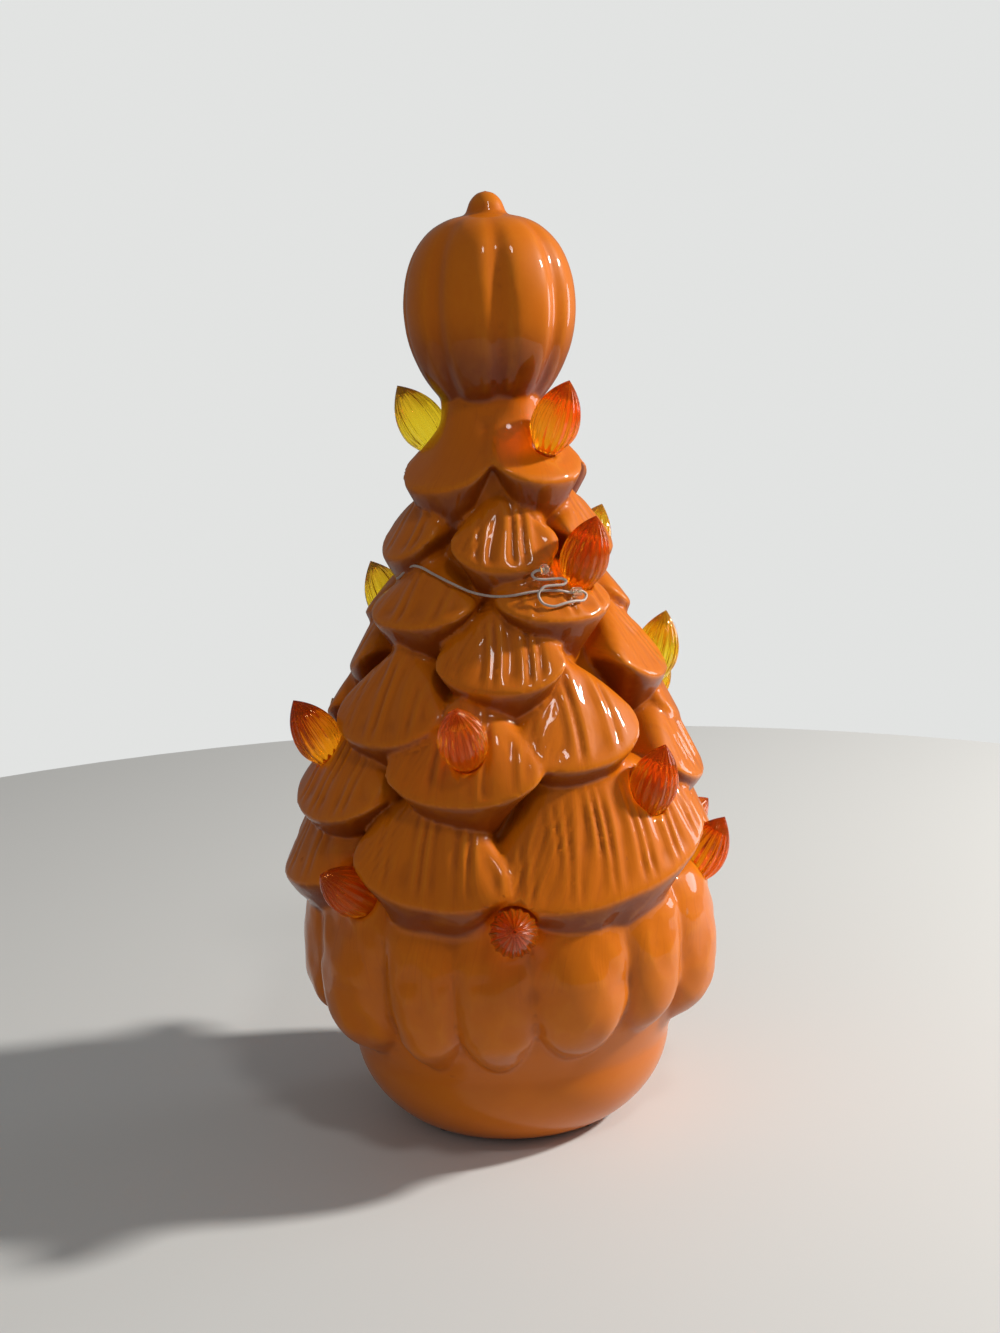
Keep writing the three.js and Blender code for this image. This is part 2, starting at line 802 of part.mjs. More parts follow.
const lensBottom = unitTop + clearance;
const lensHollow = dome(lensRadius - lensWall, lensSide, lensHeight, lensBottom - lensWall);
const lens = toSolid(dome(lensRadius, lensSide, lensHeight, lensBottom)).subtract(toSolid(lensHollow));
addPart('light_lens', toGeometry(lens), 'clearPlastic');

// Cells lie in a row along X, between two contacts
const stackHalf = (cellCount * cellLength + (cellCount - 1) * clearance) / 2;
const cellHeight = plateTop + clearance + cellRadius;
for (let i = 0; i < cellCount; i += 1) {
  const place = -stackHalf + cellLength / 2 + i * (cellLength + clearance);
  const cell = new THREE.CylinderGeometry(cellRadius, cellRadius, cellLength, roundSides);
  cell.rotateZ(Math.PI / 2).translate(place, -cellOffset, cellHeight);
  addPart(`battery_cell_${i + 1}`, cell, 'steel');
}
const contactPlace = stackHalf + clearance + contactThickness / 2;
const contactBottom = cellHeight - contactHeight / 2;
for (const [side, name] of [[1, 'battery_contact_positive'], [-1, 'battery_contact_negative']]) {
  addPart(name, block(contactThickness, contactWidth, contactHeight, side * contactPlace, -cellOffset,
    contactBottom), 'steel');
}

// Base plate with the cell tray, the door's recess, the screw's boss and the switch's slot
const openingLength = 2 * (stackHalf + clearance);
const openingWidth = 2 * (cellRadius + clearance);
const trayLength = 2 * (contactPlace + contactThickness / 2 + clearance);
const trayTop = cellHeight + cellRadius;
const doorLength = openingLength + 2 * (doorMargin - clearance);
const doorWidth = openingWidth + 2 * (doorMargin - clearance);
const screwHole = screwShankRadius + clearance;

function doorOutline(growth, bottom, top) {
  const leaf = block(doorLength + 2 * growth, doorWidth + 2 * growth, top - bottom, 0, -cellOffset, bottom);
  const ear = disc(earRadius + growth, bottom, top).translate(0, screwOffset, 0);
  return toSolid(leaf).add(toSolid(ear));
}

function basePlate() {
  const sunk = unitWall / 2;
  const tray = block(trayLength + 2 * trayWall, openingWidth + 2 * trayWall, trayTop - plateTop + sunk, 0,
    -cellOffset, plateTop - sunk);
  const within = disc(innerRadius - clearance, unitBottom, trayTop + unitWall);
  const boss = disc(screwHole + trayWall, plateTop - sunk, plateTop + bossHeight);
  const inside = block(trayLength, openingWidth, trayTop, 0, -cellOffset, plateTop);
  const opening = block(openingLength, openingWidth, 2 * unitPlate, 0, -cellOffset, unitBottom - sunk);
  const recess = doorOutline(clearance, unitBottom - sunk, unitBottom + doorThickness + clearance);
  const bore = disc(screwHole, unitBottom, plateTop + 2 * bossHeight, smallSides);
  const slot = block(knobLength + switchTravel + 2 * clearance, knobWidth + 2 * clearance, 2 * unitPlate, 0,
    switchOffset, unitBottom - sunk);
  return toSolid(disc(unitRadius, unitBottom, plateTop))
    .add(toSolid(tray).intersect(toSolid(within)))
    .add(toSolid(boss.translate(0, screwOffset, 0)))
    .subtract(join([inside, opening, bore.translate(0, screwOffset, 0), slot].map(toSolid)))
    .subtract(recess);
}

addPart('light_base_plate', toGeometry(basePlate()), 'whitePlastic');

// Battery door and its screw
const doorBore = toSolid(disc(screwHole, 0, plateTop, smallSides).translate(0, screwOffset, 0));
const door = doorOutline(0, unitBottom, unitBottom + doorThickness).subtract(doorBore);
addPart('battery_door', toGeometry(door), 'whitePlastic');

const headTop = unitBottom - clearance;
const headBottom = headTop - screwHeadThickness;
const screwSlot = block(2 * screwHeadRadius + cutOverrun, screwSlotWidth, 2 * screwSlotDepth, 0, 0,
  headBottom - screwSlotDepth);
const screw = toSolid(lathe([
  [0, headBottom],
  [screwHeadRadius, headBottom],
  [screwHeadRadius, headTop],
  [screwShankRadius, headTop],
  [screwShankRadius, headTop + screwLength],
  [0, headTop + screwLength],
], smallSides)).subtract(toSolid(screwSlot));
addPart('battery_door_screw', toGeometry(screw.translate([0, screwOffset, 0])), 'steel');

// Circuit board, lamp and switch
const boardBottom = trayTop + clearance;
const ledBottom = boardBottom + boardThickness + clearance;
addPart('circuit_board', disc(boardRadius, boardBottom, boardBottom + boardThickness), 'board');
addPart('led_lamp', dome(ledRadius, ledSide, ledHeight, ledBottom), 'clearPlastic');
addPart('switch_body', block(switchBodyLength, switchBodyWidth, switchBodyHeight, 0, switchOffset,
  plateTop + clearance), 'blackPlastic');
addPart('switch_knob', block(knobLength, knobWidth, knobHeight, -switchTravel / 2, switchOffset,
  plateTop - knobHeight), 'blackPlastic');

export default tree;
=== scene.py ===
# %% [markdown]
# A glazed ceramic Halloween tree, made round its measured frame.
# The real thing is slip cast in one piece: pot, skirt, branches, neck and pumpkin are one glazed shell.
# Clear plastic bulbs are pegged into holes in it, a thin tag string is looped round it, and a small
# battery light unit sits in its foot. The frame gives every place and size, so the work starts there.

# %% Load the measured frame
import json
import math
import random

import bmesh
import bpy
import numpy as np
from mathutils import Matrix, Vector, noise

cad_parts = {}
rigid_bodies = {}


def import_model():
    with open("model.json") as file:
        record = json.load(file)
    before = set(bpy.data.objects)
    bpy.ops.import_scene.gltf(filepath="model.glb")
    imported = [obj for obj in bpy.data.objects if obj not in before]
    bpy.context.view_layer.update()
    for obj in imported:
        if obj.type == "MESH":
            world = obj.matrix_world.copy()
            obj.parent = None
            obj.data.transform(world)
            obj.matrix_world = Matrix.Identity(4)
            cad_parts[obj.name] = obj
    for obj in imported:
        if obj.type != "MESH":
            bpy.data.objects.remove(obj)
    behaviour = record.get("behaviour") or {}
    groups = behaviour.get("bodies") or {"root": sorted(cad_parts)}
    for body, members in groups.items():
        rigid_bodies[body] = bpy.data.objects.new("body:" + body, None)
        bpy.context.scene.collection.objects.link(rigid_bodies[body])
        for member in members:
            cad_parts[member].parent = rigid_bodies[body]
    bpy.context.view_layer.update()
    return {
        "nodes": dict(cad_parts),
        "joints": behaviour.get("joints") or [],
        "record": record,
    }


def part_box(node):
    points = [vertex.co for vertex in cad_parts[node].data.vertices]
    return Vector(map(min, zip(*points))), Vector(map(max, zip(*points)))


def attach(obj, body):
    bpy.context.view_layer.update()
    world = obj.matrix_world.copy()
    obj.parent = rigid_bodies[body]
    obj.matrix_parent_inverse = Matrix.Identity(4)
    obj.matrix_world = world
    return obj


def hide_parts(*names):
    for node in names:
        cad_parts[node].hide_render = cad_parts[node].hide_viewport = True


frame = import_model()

MM = 0.001
scene = bpy.context.scene
scene.view_settings.view_transform = "Standard"

# %% [markdown]
# The camera comes first, because the string has to lie where the camera sees it. The photograph was
# taken from a hand's height above the table, a little over the branches, with the phone slightly tilted.
# Its focal length in pixels of a 1000 by 1333 frame gives the lens, so the view is the photograph's own.

# %% Camera
PHOTO_HEIGHT = 1333
FOCAL_PIXELS = 1800
SENSOR = 36
CAMERA_PLACE = Vector((-0.15, -349, 159)) * MM
CAMERA_DIP = 11.05
CAMERA_ROLL = -1.9

camera_data = bpy.data.cameras.new("photo_camera")
camera_data.sensor_width = SENSOR
camera_data.lens = FOCAL_PIXELS * SENSOR / PHOTO_HEIGHT
camera_data.clip_start = 0.01
camera = bpy.data.objects.new("photo_camera", camera_data)
camera.matrix_world = (
    Matrix.Translation(CAMERA_PLACE)
    @ Matrix.Rotation(math.radians(90 - CAMERA_DIP), 4, "X")
    @ Matrix.Rotation(math.radians(CAMERA_ROLL), 4, "Z")
)
scene.collection.objects.link(camera)
scene.camera = camera
print("lens, mm:", round(camera_data.lens, 2))

# %% [markdown]
# The tag string is a limp cord half a millimetre thick. It goes from a bead behind the tree round the
# left side and over the front branches to a small lock, and a shorter piece runs on from the lock in a
# loop to its own bead. A curve is the right tool: its line is the string's centre and its bevel the
# thickness. The places were chosen to rest on the branches: turn from the front in degrees,
# height and distance from the tree's axis in millimetres.

# %% The string's way
STRING_RADIUS = 0.25
LOCK_LENGTH = 1.8
CLEARANCE = 0.3
LOCK_PLACE = (34.1, 108.5, 25.7)
BEAD_PLACE = (20.6, 113.1, 24.3)
STRING_ROUTE = [
    (-178, 96.6, 29.4), (-178, 99.5, 29.5), (-178, 102, 29.6), (-178, 103.9, 29.2),
    (-178, 105.8, 27.3), (-178, 108, 25), (-177, 110.2, 22.8), (-172, 111.8, 21.2),
    (-164, 111.6, 21), (-156, 110.9, 21.2), (-148, 110, 21), (-140, 109.8, 21.1),
    (-132, 110.1, 20.7), (-124, 110.8, 20.2), (-116, 111.6, 19.6), (-106, 112, 18.8),
    (-94, 111.6, 18.3), (-82, 110.9, 18.6), (-74, 110.2, 19.6), (-66, 110.3, 21),
    (-60, 110.9, 21.4), (-54.7, 112.3, 21.1), (-49.4, 113.3, 21.1), (-43.5, 113.2, 20.9),
    (-34.2, 112, 20.9), (-23.5, 110.7, 21.7), (-14.3, 109.2, 21.6), (-5.9, 108.5, 22.1),
    (1, 108.4, 23.2), (7, 108.7, 24.3), (13.5, 109.1, 24.5), (20.9, 109.2, 24.6), (27, 109, 25.4),
]
LOOP_ROUTE = [
    (38.2, 107.8, 26.2), (36.2, 107, 26.6), (31.2, 107.1, 26.9), (27.1, 107, 27.1),
    (21.5, 106.6, 27.1), (17.6, 107.3, 26.4), (16.4, 108.8, 25.9), (18.8, 110, 25.6),
    (23.7, 110.2, 25.6), (28, 110.2, 25.6), (29.5, 110.7, 25.4), (28, 111.2, 25.2),
    (24.2, 111.3, 25), (20.2, 111.3, 24.8), (16.1, 111.6, 24.5), (14.9, 112.3, 24.4),
    (16.6, 112.9, 24.3),
]


def place_at(turn, height, reach):
    """A place in millimetres, from its turn from the front, its height and its reach from the axis."""
    angle = math.radians(turn)
    return Vector((reach * math.sin(angle), -reach * math.cos(angle), height))


def smooth_line(places, steps):
    """Points along a smooth curve that goes through every place, so many to each stretch."""
    ends = [2 * places[0] - places[1], *places, 2 * places[-1] - places[-2]]
    line = []
    for before, start, end, after in zip(ends, ends[1:], ends[2:], ends[3:]):
        first, middle, last = (
            math.sqrt((b - a).length) for a, b in ((before, start), (start, end), (end, after))
        )
        leave = (start - before) / first - (end - before) / (first + middle) + (end - start) / middle
        arrive = (end - start) / middle - (after - start) / (middle + last) + (after - end) / last
        for i in range(steps):
            t = i / steps
            line.append(
                (2 * t**3 - 3 * t**2 + 1) * start
                + (t**3 - 2 * t**2 + t) * middle * leave
                + (3 * t**2 - 2 * t**3) * end
                + (t**3 - t**2) * middle * arrive
            )
    return [*line, places[-1]]


lock_centre = place_at(*LOCK_PLACE)
into_lock = place_at(*STRING_ROUTE[-1])
out_of_lock = place_at(*LOOP_ROUTE[0])
lock_line = Vector((*(out_of_lock - into_lock).xy, 0)).normalized()
lock_exit = LOCK_LENGTH / 2 + CLEARANCE
bead_centre = place_at(*BEAD_PLACE)
string_places = [place_at(*p) for p in STRING_ROUTE]
string_places += [lock_centre - lock_line * lock_exit, lock_centre - lock_line * CLEARANCE]
loop_places = [lock_centre + lock_line * CLEARANCE, lock_centre + lock_line * lock_exit]
loop_places += [place_at(*p) for p in LOOP_ROUTE] + [bead_centre]

# %% Lay the string


def string_piece(name, places):
    """A round cord along the places, and its length."""
    curve = bpy.data.curves.new(name, "CURVE")
    curve.dimensions = "3D"
    curve.bevel_depth = STRING_RADIUS * MM
    curve.bevel_resolution = 3
    curve.use_fill_caps = True
    line = smooth_line(places, 8)
    spline = curve.splines.new("POLY")
    spline.points.add(len(line) - 1)
    for point, place in zip(spline.points, line):
        point.co = (*(place * MM), 1)
    piece = bpy.data.objects.new(name, curve)
    scene.collection.objects.link(piece)
    length = sum((b - a).length for a, b in zip(line, line[1:])) * MM
    print(name, "length, mm:", round(length / MM, 1))
    return piece, length


tag_string, tag_string_length = string_piece("tag_string_cord", string_places)
tag_loop, tag_loop_length = string_piece("tag_loop_cord", loop_places)

# %% [markdown]
# Most pieces here are turned shapes: an outline swept round an axis. Spinning an edge chain with
# bmesh and merging its doubles closes the shape, also where the outline starts and ends on the axis.
# Every piece is drawn in millimetres and made metres once, as it becomes an object at the origin.

# %% Helpers for turned shapes


def turned(outline, sides):
    """A closed shape of an outline of (radius, height) spun round the Z axis, in a new bmesh."""
    bm = bmesh.new()
    verts = [bm.verts.new((radius, 0, height)) for radius, height in outline]
    edges = [bm.edges.new(pair) for pair in zip(verts, verts[1:])]
    bmesh.ops.spin(
        bm, geom=verts + edges, cent=(0, 0, 0), axis=(0, 0, 1), angle=math.tau, steps=sides,
        use_merge=True,
    )
    bmesh.ops.remove_doubles(bm, verts=bm.verts, dist=1e-5)
    bmesh.ops.recalc_face_normals(bm, faces=bm.faces)
    return bm


def stood(bm, place, along):
    """Moves a shape that stands along +Z at the origin to a place, leaning along a line."""
    lean = Vector((0, 0, 1)).rotation_difference(along).to_matrix().to_4x4()
    bmesh.ops.transform(bm, matrix=Matrix.Translation(place) @ lean, verts=bm.verts)
    return bm


def added(bm, other):
    """Adds another bmesh's shape to this one and frees the other."""
    data = bpy.data.meshes.new("passing")
    other.to_mesh(data)
    other.free()
    bm.from_mesh(data)
    bpy.data.meshes.remove(data)
    return bm


def as_object(name, bm, smooth=40):
    """Makes the millimetre bmesh an object in metres at the origin, smooth below that edge angle."""
    bmesh.ops.scale(bm, vec=(MM, MM, MM), verts=bm.verts)
    for edge in bm.edges:
        edge.smooth = len(edge.link_faces) == 2 and edge.calc_face_angle(0) < math.radians(smooth)
    for face in bm.faces:
        face.smooth = True
    data = bpy.data.meshes.new(name)
    bm.to_mesh(data)
    bm.free()
    piece = bpy.data.objects.new(name, data)
    scene.collection.objects.link(piece)
    return piece


# %% [markdown]
# The floor is a plain pale disc like a round table top. Its far edge lies where the table ends in the
# photograph, and the wall above is the world's plain colour. Only rays that look at it straight or through
# plastic see that colour. All others meet a dimmer one, so the wall doesn't flood the tree.
# The sun comes from the right and a little behind, so a small round lamp stands there. A cool one beside it
# gives the window's streak, a wide one fills the left side as the room does, and a high one lifts the
# front. The wide one stays out of reflections, because it would show as a disc in the glossy glaze.

# %% Floor, world and lamps
FLOOR_RADIUS = 0.34
FLOOR_COLOUR = (0.62, 0.62, 0.61, 1)
FLOOR_ROUGHNESS = 0.55
WORLD_COLOUR = (0.80, 0.81, 0.80, 1)
AIR_STRENGTH = 0.22
SIGHT_STRENGTH = 0.95
TREE_MIDDLE = Vector((0, 0, 0.09))

floor_bm = bmesh.new()
bmesh.ops.create_circle(floor_bm, cap_ends=True, segments=96, radius=FLOOR_RADIUS / MM)
floor = as_object("floor", floor_bm)
floor_paint = bpy.data.materials.new("pale_floor")
floor_paint.use_nodes = True
floor_shader = floor_paint.node_tree.nodes["Principled BSDF"]
floor_shader.inputs["Base Color"].default_value = FLOOR_COLOUR
floor_shader.inputs["Roughness"].default_value = FLOOR_ROUGHNESS
floor.data.materials.append(floor_paint)

world = bpy.data.worlds.new("studio_air")
world.use_nodes = True
air = world.node_tree.nodes["Background"]
air.inputs["Color"].default_value = WORLD_COLOUR
air.inputs["Strength"].default_value = AIR_STRENGTH
sight = world.node_tree.nodes.new("ShaderNodeBackground")
sight.inputs["Color"].default_value = WORLD_COLOUR
sight.inputs["Strength"].default_value = SIGHT_STRENGTH
ray = world.node_tree.nodes.new("ShaderNodeLightPath")
seen = world.node_tree.nodes.new("ShaderNodeMath")
seen.operation = "MAXIMUM"
world.node_tree.links.new(ray.outputs["Is Camera Ray"], seen.inputs[0])
world.node_tree.links.new(ray.outputs["Is Transmission Ray"], seen.inputs[1])
choose = world.node_tree.nodes.new("ShaderNodeMixShader")
world.node_tree.links.new(seen.outputs[0], choose.inputs[0])
world.node_tree.links.new(air.outputs[0], choose.inputs[1])
world.node_tree.links.new(sight.outputs[0], choose.inputs[2])
world.node_tree.links.new(choose.outputs[0], world.node_tree.nodes["World Output"].inputs[0])
scene.world = world


def lamp(name, place, size, power, colour, mirrored=True):
    """A round area lamp that looks at the middle of the tree, and may stay out of reflections."""
    data = bpy.data.lights.new(name, "AREA")
    data.shape = "DISK"
    data.size = size
    data.energy = power
    data.color = colour
    light = bpy.data.objects.new(name, data)
    light.location = place
    light.visible_glossy = mirrored
    light.rotation_euler = (TREE_MIDDLE - Vector(place)).to_track_quat("-Z", "Y").to_euler()
    scene.collection.objects.link(light)


lamp("sun_side", (0.72, 0.07, 0.51), 0.08, 10, (1.0, 0.97, 0.92))
lamp("side_window", (0.80, 0.42, 0.16), 0.3, 1.6, (0.84, 0.89, 1.0))
lamp("room_side", (-0.55, -0.70, 0.45), 0.8, 0.8, (0.95, 0.97, 1.0), mirrored=False)
lamp("high_window", (0.25, -0.55, 0.95), 0.14, 1.3, (1.0, 0.99, 0.97))

# %% [markdown]
# The cast body is one outline and many bulges. These are the driving sizes of its turned core with pot
# and neck, and of the pumpkin. Like all sizes here they are in millimetres, and the outline is pairs of
# radius and height.

# %% Sizes of the core and the pumpkin
WALL = 4
PAD_THICKNESS = 0.8
FOOT_RADIUS = 21.2
NECK_TOP = 141
NECK_RADIUS = 9.8
PUMPKIN_RADIUS = 16.6
PUMPKIN_BOTTOM = 138
PUMPKIN_MIDDLE = 160.5
PUMPKIN_TOP = 177.6
STEM_TOP = 182
CORE_OUTLINE = [
    (31.9, 17), (33, 20), (36, 27), (38, 35), (38, 47), (14, 118), (13.2, 130), (10.8, 136.6),
    (NECK_RADIUS, NECK_TOP), (NECK_RADIUS, PUMPKIN_MIDDLE),
]

# %% [markdown]
# Seven staggered rows of branches stand out from the core, and the skirt's lobes hang under them. The
# places are the frame's, with a few leaves pushed or slimmed to match the photograph. Each row has
# the height and reach of its peak, its lip and the low point under the lip. Each branch has its turn from
# the front and its half width in degrees, and how far it is raised or pushed out where the hand-made row
# is uneven. A lobe fills the space between two grooves, and the front ones sag as in the photograph.

# %% Places of the branches and lobes
ROWS = [
    ((141, 9.6), (127.5, 19.5), (119, 13), [
        (-43, 42, 0, 0), (37, 41, 1.2, 0), (130, 46, 0, 0), (-138, 46, 0, 0)]),
    ((125, 13), (113, 23), (106, 17), [
        (5, 32, 0, 0), (72, 32, 1.5, 0), (146, 34, 0, 0), (-142, 34, 0, 0), (-67, 32, 1.5, 0)]),
    ((114, 17), (103, 28.5), (95, 21), [
        (-43, 32, 0, 0), (29, 32, 1, 0), (112, 30, -1, -1.5), (-176, 33, 0, 0),
        (-114, 30, -1.5, -1)]),
    ((106, 20), (92, 32), (84, 25), [
        (0, 26, 0, 0), (76, 28, -1.5, 1), (142, 28, 0, 0), (-150, 28, -1, 0), (-96, 27, 0, -2)]),
    ((98, 24), (80, 36.5), (74, 29), [
        (-45, 25, 2, 0), (27, 25.5, -2, 0.3), (97, 26, 0, -1), (168, 28, 0, 0), (-114, 26, 0, 0)]),
    ((89.5, 28), (70, 40), (64.5, 33), [
        (-63, 26, -3, 2.5), (-13, 25, 3, 0), (82, 25, 0, 0), (131, 25, 1, 0), (-178, 27, 0, 0),
        (-122, 27, 0, 0)]),
    ((76, 32), (55, 43.5), (48, 37), [
        (-72, 25, -1.5, 1.6), (-22, 24, 0, 0), (32, 38, 0, 0), (107, 28, 0, -1.5),
        (158, 27, 0, 0), (-152, 26, 0, 0), (-110, 22, 0, 0)]),
]
LOBE_GROOVES = [-147, -121, -95.5, -68, -36, -15.5, 6, 33.6, 55, 83, 110, 136, 162, 187.4]
LOBE_OVERLAP = 1.5
LOBE_PEAK = (54, 37)
LOBE_LIP = (38, 42.3)
LOBE_LOW = (20.2, 33)
LOBE_SAGS = {-36: -1.0, -15.5: -0.4, 6: 1.2, 33.6: 3.0}
print("branches:", sum(len(branches) for *_, branches in ROWS), "lobes:", len(LOBE_GROOVES))

# %% [markdown]
# Shares say how a bulge differs from a plain ball. Crown and under bend its outline above and below the
# lip. Peak_width, widest, rounded, lip_width, low_width and narrowing set how wide it is on the way down.
# Tent and boxy are its cross-section near the peak and at the lip, settled is how late one turns into the
# other, and corner_lift raises the lip's two corners. A few leaves need shares of their own: the top row
# has no veins, the string lies on the third row, and a bulb is pulled out past one corner.

# %% Shares of the branches and lobes


class Bulge:
    """One branch or lobe: where it is, and the shares that shape it."""

    def __init__(self, number, turn, half, peak, lip, low, tilt=0, **shares):
        self.number = number
        self.tilt = tilt
        self.turn = turn
        self.half = math.radians(half)
        self.peak = peak
        self.lip = lip
        self.low = low
        self.__dict__.update(shares)


BRANCH = dict(
    lip_row=4 / 7, crown=0.9, under=1.15, peak_width=0, widest=0.88, rounded=0.1, lip_width=1,
    low_width=0.35, narrowing=1, tent=0.8, boxy=0.22, settled=0.7, corner_lift=4.6, veins=True,
)
TIED_BRANCH = dict(BRANCH, boxy=0.4, tent=1, corner_lift=3.2)
TOP_BRANCH = dict(BRANCH, crown=1.7, peak_width=1, tent=1.3, boxy=0.35, settled=1.5, veins=False)
FULL_BRANCH = dict(BRANCH, peak_width=0.55, widest=0.8)
NARROW_BRANCH = dict(BRANCH, boxy=0.55, widest=0.7, lip_width=0.86, corner_lift=3)
PASSED_BRANCH = dict(BRANCH, boxy=0.35)
LOBE = dict(
    lip_row=2 / 5, crown=0.5, under=4, peak_width=0.85, widest=0.5, rounded=1, lip_width=1,
    low_width=0.25, narrowing=3, tent=0.3, boxy=0.8, settled=1.4, corner_lift=0, veins=False,
)
SHAPES = {
    1: TOP_BRANCH, 3: TIED_BRANCH, (5, 27): PASSED_BRANCH, (7, 32): FULL_BRANCH,
    (7, -72): NARROW_BRANCH,
}
PEAK_GROWTH = (1.5, 0.8)
LOW_GROWTH = (-1.8, 1.2)
TILTS = {(5, 27): 1.5, (7, 32): 4.5, (7, -22): -2}
bulges = []
for row, (peak, lip, low, branches) in enumerate(ROWS, 1):
    for turn, half, raised, pushed in branches:
        shares = SHAPES.get((row, turn), SHAPES.get(row, BRANCH))
        bulges.append(Bulge(
            len(bulges), turn, half,
            peak=(peak[0] + raised + PEAK_GROWTH[0], peak[1] + PEAK_GROWTH[1]),
            lip=(lip[0] + raised, lip[1] + pushed),
            low=(low[0] + raised + LOW_GROWTH[0], low[1] + LOW_GROWTH[1]),
            tilt=TILTS.get((row, turn), 0), **shares,
        ))
unevenness = random.Random(7)
for left, right in zip(LOBE_GROOVES, LOBE_GROOVES[1:] + [LOBE_GROOVES[0] + 360]):
    sag = LOBE_SAGS.get(left, unevenness.uniform(-1.0, 2.0))
    swell = unevenness.uniform(-0.8, 0.2)
    half = (right - left) / 2 + LOBE_OVERLAP
    bulges.append(Bulge(
        len(bulges), (left + right) / 2, half, peak=LOBE_PEAK,
        lip=(LOBE_LIP[0] + sag, LOBE_LIP[1] + swell), low=(LOBE_LOW[0] + sag, LOBE_LOW[1]), **LOBE,
    ))
print("branches and lobes:", len(bulges))

# %% [markdown]
# A branch is a ball pushed into a new shape. Its rows run from the peak over the lip to the low point
# under it, its front half swells out from the core and its back half is buried in it. Working the place
# of each point of a ball out from a few shares gives a leaf that joins its neighbours without seams.
# The frame's solid was made by a plainer rule with far fewer points. Here the corners of the lips rise, and
# the hollows under them go deeper, as on the real leaves.

# %% Shape the branches and lobes
BURIED = 2
CORNER_SHARPNESS = 2.6
POLE = 1e-6


def mix(start, end, share):
    return start + (end - start) * share


def core_reach(height):
    heights = [h for _, h in CORE_OUTLINE]
    return np.interp(height, heights, [r for r, _ in CORE_OUTLINE])


def width_at(shape, run):
    """How wide the bulge's top is there, as a share of its half width."""
    rise = np.minimum(1, run / shape.widest)
    grown = mix(rise, np.sin(rise * math.pi / 2), shape.rounded)
    kept = mix(1, shape.lip_width, np.clip((run - shape.widest) / (1 - shape.widest), 0, 1))
    return mix(shape.peak_width, 1, grown) * kept


def squareness(shape, run):
    """The power that shapes the bulge's cross-section: a tent near its peak, boxy at its lip."""
    return mix(shape.tent, shape.boxy, run**shape.settled)


def raised_at(shape, side):
    """How far the lip rises there: towards both corners, and to one side where the leaf is tilted."""
    return shape.corner_lift * abs(side) ** CORNER_SHARPNESS + shape.tilt * side


def bulge_shell(shape, around_steps=72, row_steps=40):
    """A branch or lobe as a closed shell in a new bmesh."""
    bm = bmesh.new()
    bmesh.ops.create_uvsphere(bm, u_segments=around_steps, v_segments=row_steps, radius=1)
    centre = math.radians(shape.turn)
    for vert in bm.verts:
        row = math.acos(max(-1, min(1, vert.co.z))) / math.pi
        around = math.atan2(vert.co.y, vert.co.x)
        on_top = row <= shape.lip_row
        if on_top:
            run = row / shape.lip_row
            height = mix(shape.peak[0], shape.lip[0], run)
            reach = mix(shape.peak[1], shape.lip[1], run**shape.crown)
            width = width_at(shape, run)
            power = squareness(shape, run)
        else:
            run = (row - shape.lip_row) / (1 - shape.lip_row)
            height = mix(shape.lip[0], shape.low[0], run)
            reach = mix(shape.lip[1], shape.low[1], run**shape.under)
            width = shape.lip_width * mix(1, shape.low_width, run**shape.narrowing)
            power = shape.boxy
        side, front = -math.sin(around), math.cos(around)
        root = core_reach(height) - BURIED
        out = mix(root, reach, front**power) if front > 0 else root + front * BURIED
        lift = raised_at(shape, side) * math.sin(row * math.pi)
        pole = row < POLE or row > 1 - POLE
        angle = centre if pole else centre + shape.half * width * side
        out = reach if pole else max(1, out)
        vert.co = (out * math.sin(angle), -out * math.cos(angle), height + lift)
    bmesh.ops.recalc_face_normals(bm, faces=bm.faces)
    return bm


# %% [markdown]
# The pumpkin is a ball too, with eight ribs: its radius dips in a narrow valley between them. The core is
# a turned outline with a rounded foot, and the stem a blunt egg.

# %% Core, pumpkin and stem
FOOT_CURVE = 1.6
POT_BELLY = (31.9, 17)
RIBS = 8
GROOVE_TURN = 7
GROOVE_DEPTH = 1.3
GROOVE_SHARPNESS = 9
FULL_ABOVE = 0.68
FULL_BELOW = 1.2
STEM_RADIUS = 3.7
STEM_ROOT = 3
STEM_FLARE = 0.6


def core_shell():
    foot = []
    steps = 16
    for i in range(steps):
        angle = i / steps * math.pi / 2
        out = math.sin(angle) ** FOOT_CURVE
        height = mix(POT_BELLY[1], PAD_THICKNESS, math.cos(angle))
        foot.append((mix(FOOT_RADIUS, POT_BELLY[0], out), height))
    return turned([(0, PAD_THICKNESS), *foot, *CORE_OUTLINE, (0, CORE_OUTLINE[-1][1])], 128)


def pumpkin_shell():
    bm = bmesh.new()
    bmesh.ops.create_uvsphere(bm, u_segments=192, v_segments=64, radius=1)
    for vert in bm.verts:
        turn = math.atan2(vert.co.x, -vert.co.y)
        level = math.hypot(vert.co.x, vert.co.y)
        swing = (turn - math.radians(GROOVE_TURN)) * RIBS / 2
        valley = abs(math.cos(swing)) ** GROOVE_SHARPNESS
        below = vert.co.z < 0
        full = level ** (FULL_BELOW if below else FULL_ABOVE)
        radius = full * PUMPKIN_RADIUS - valley * GROOVE_DEPTH * level
        height = mix(PUMPKIN_MIDDLE, PUMPKIN_BOTTOM if below else PUMPKIN_TOP, abs(vert.co.z))
        vert.co = (radius * math.sin(turn), -radius * math.cos(turn), height)
    bmesh.ops.recalc_face_normals(bm, faces=bm.faces)
    return bm


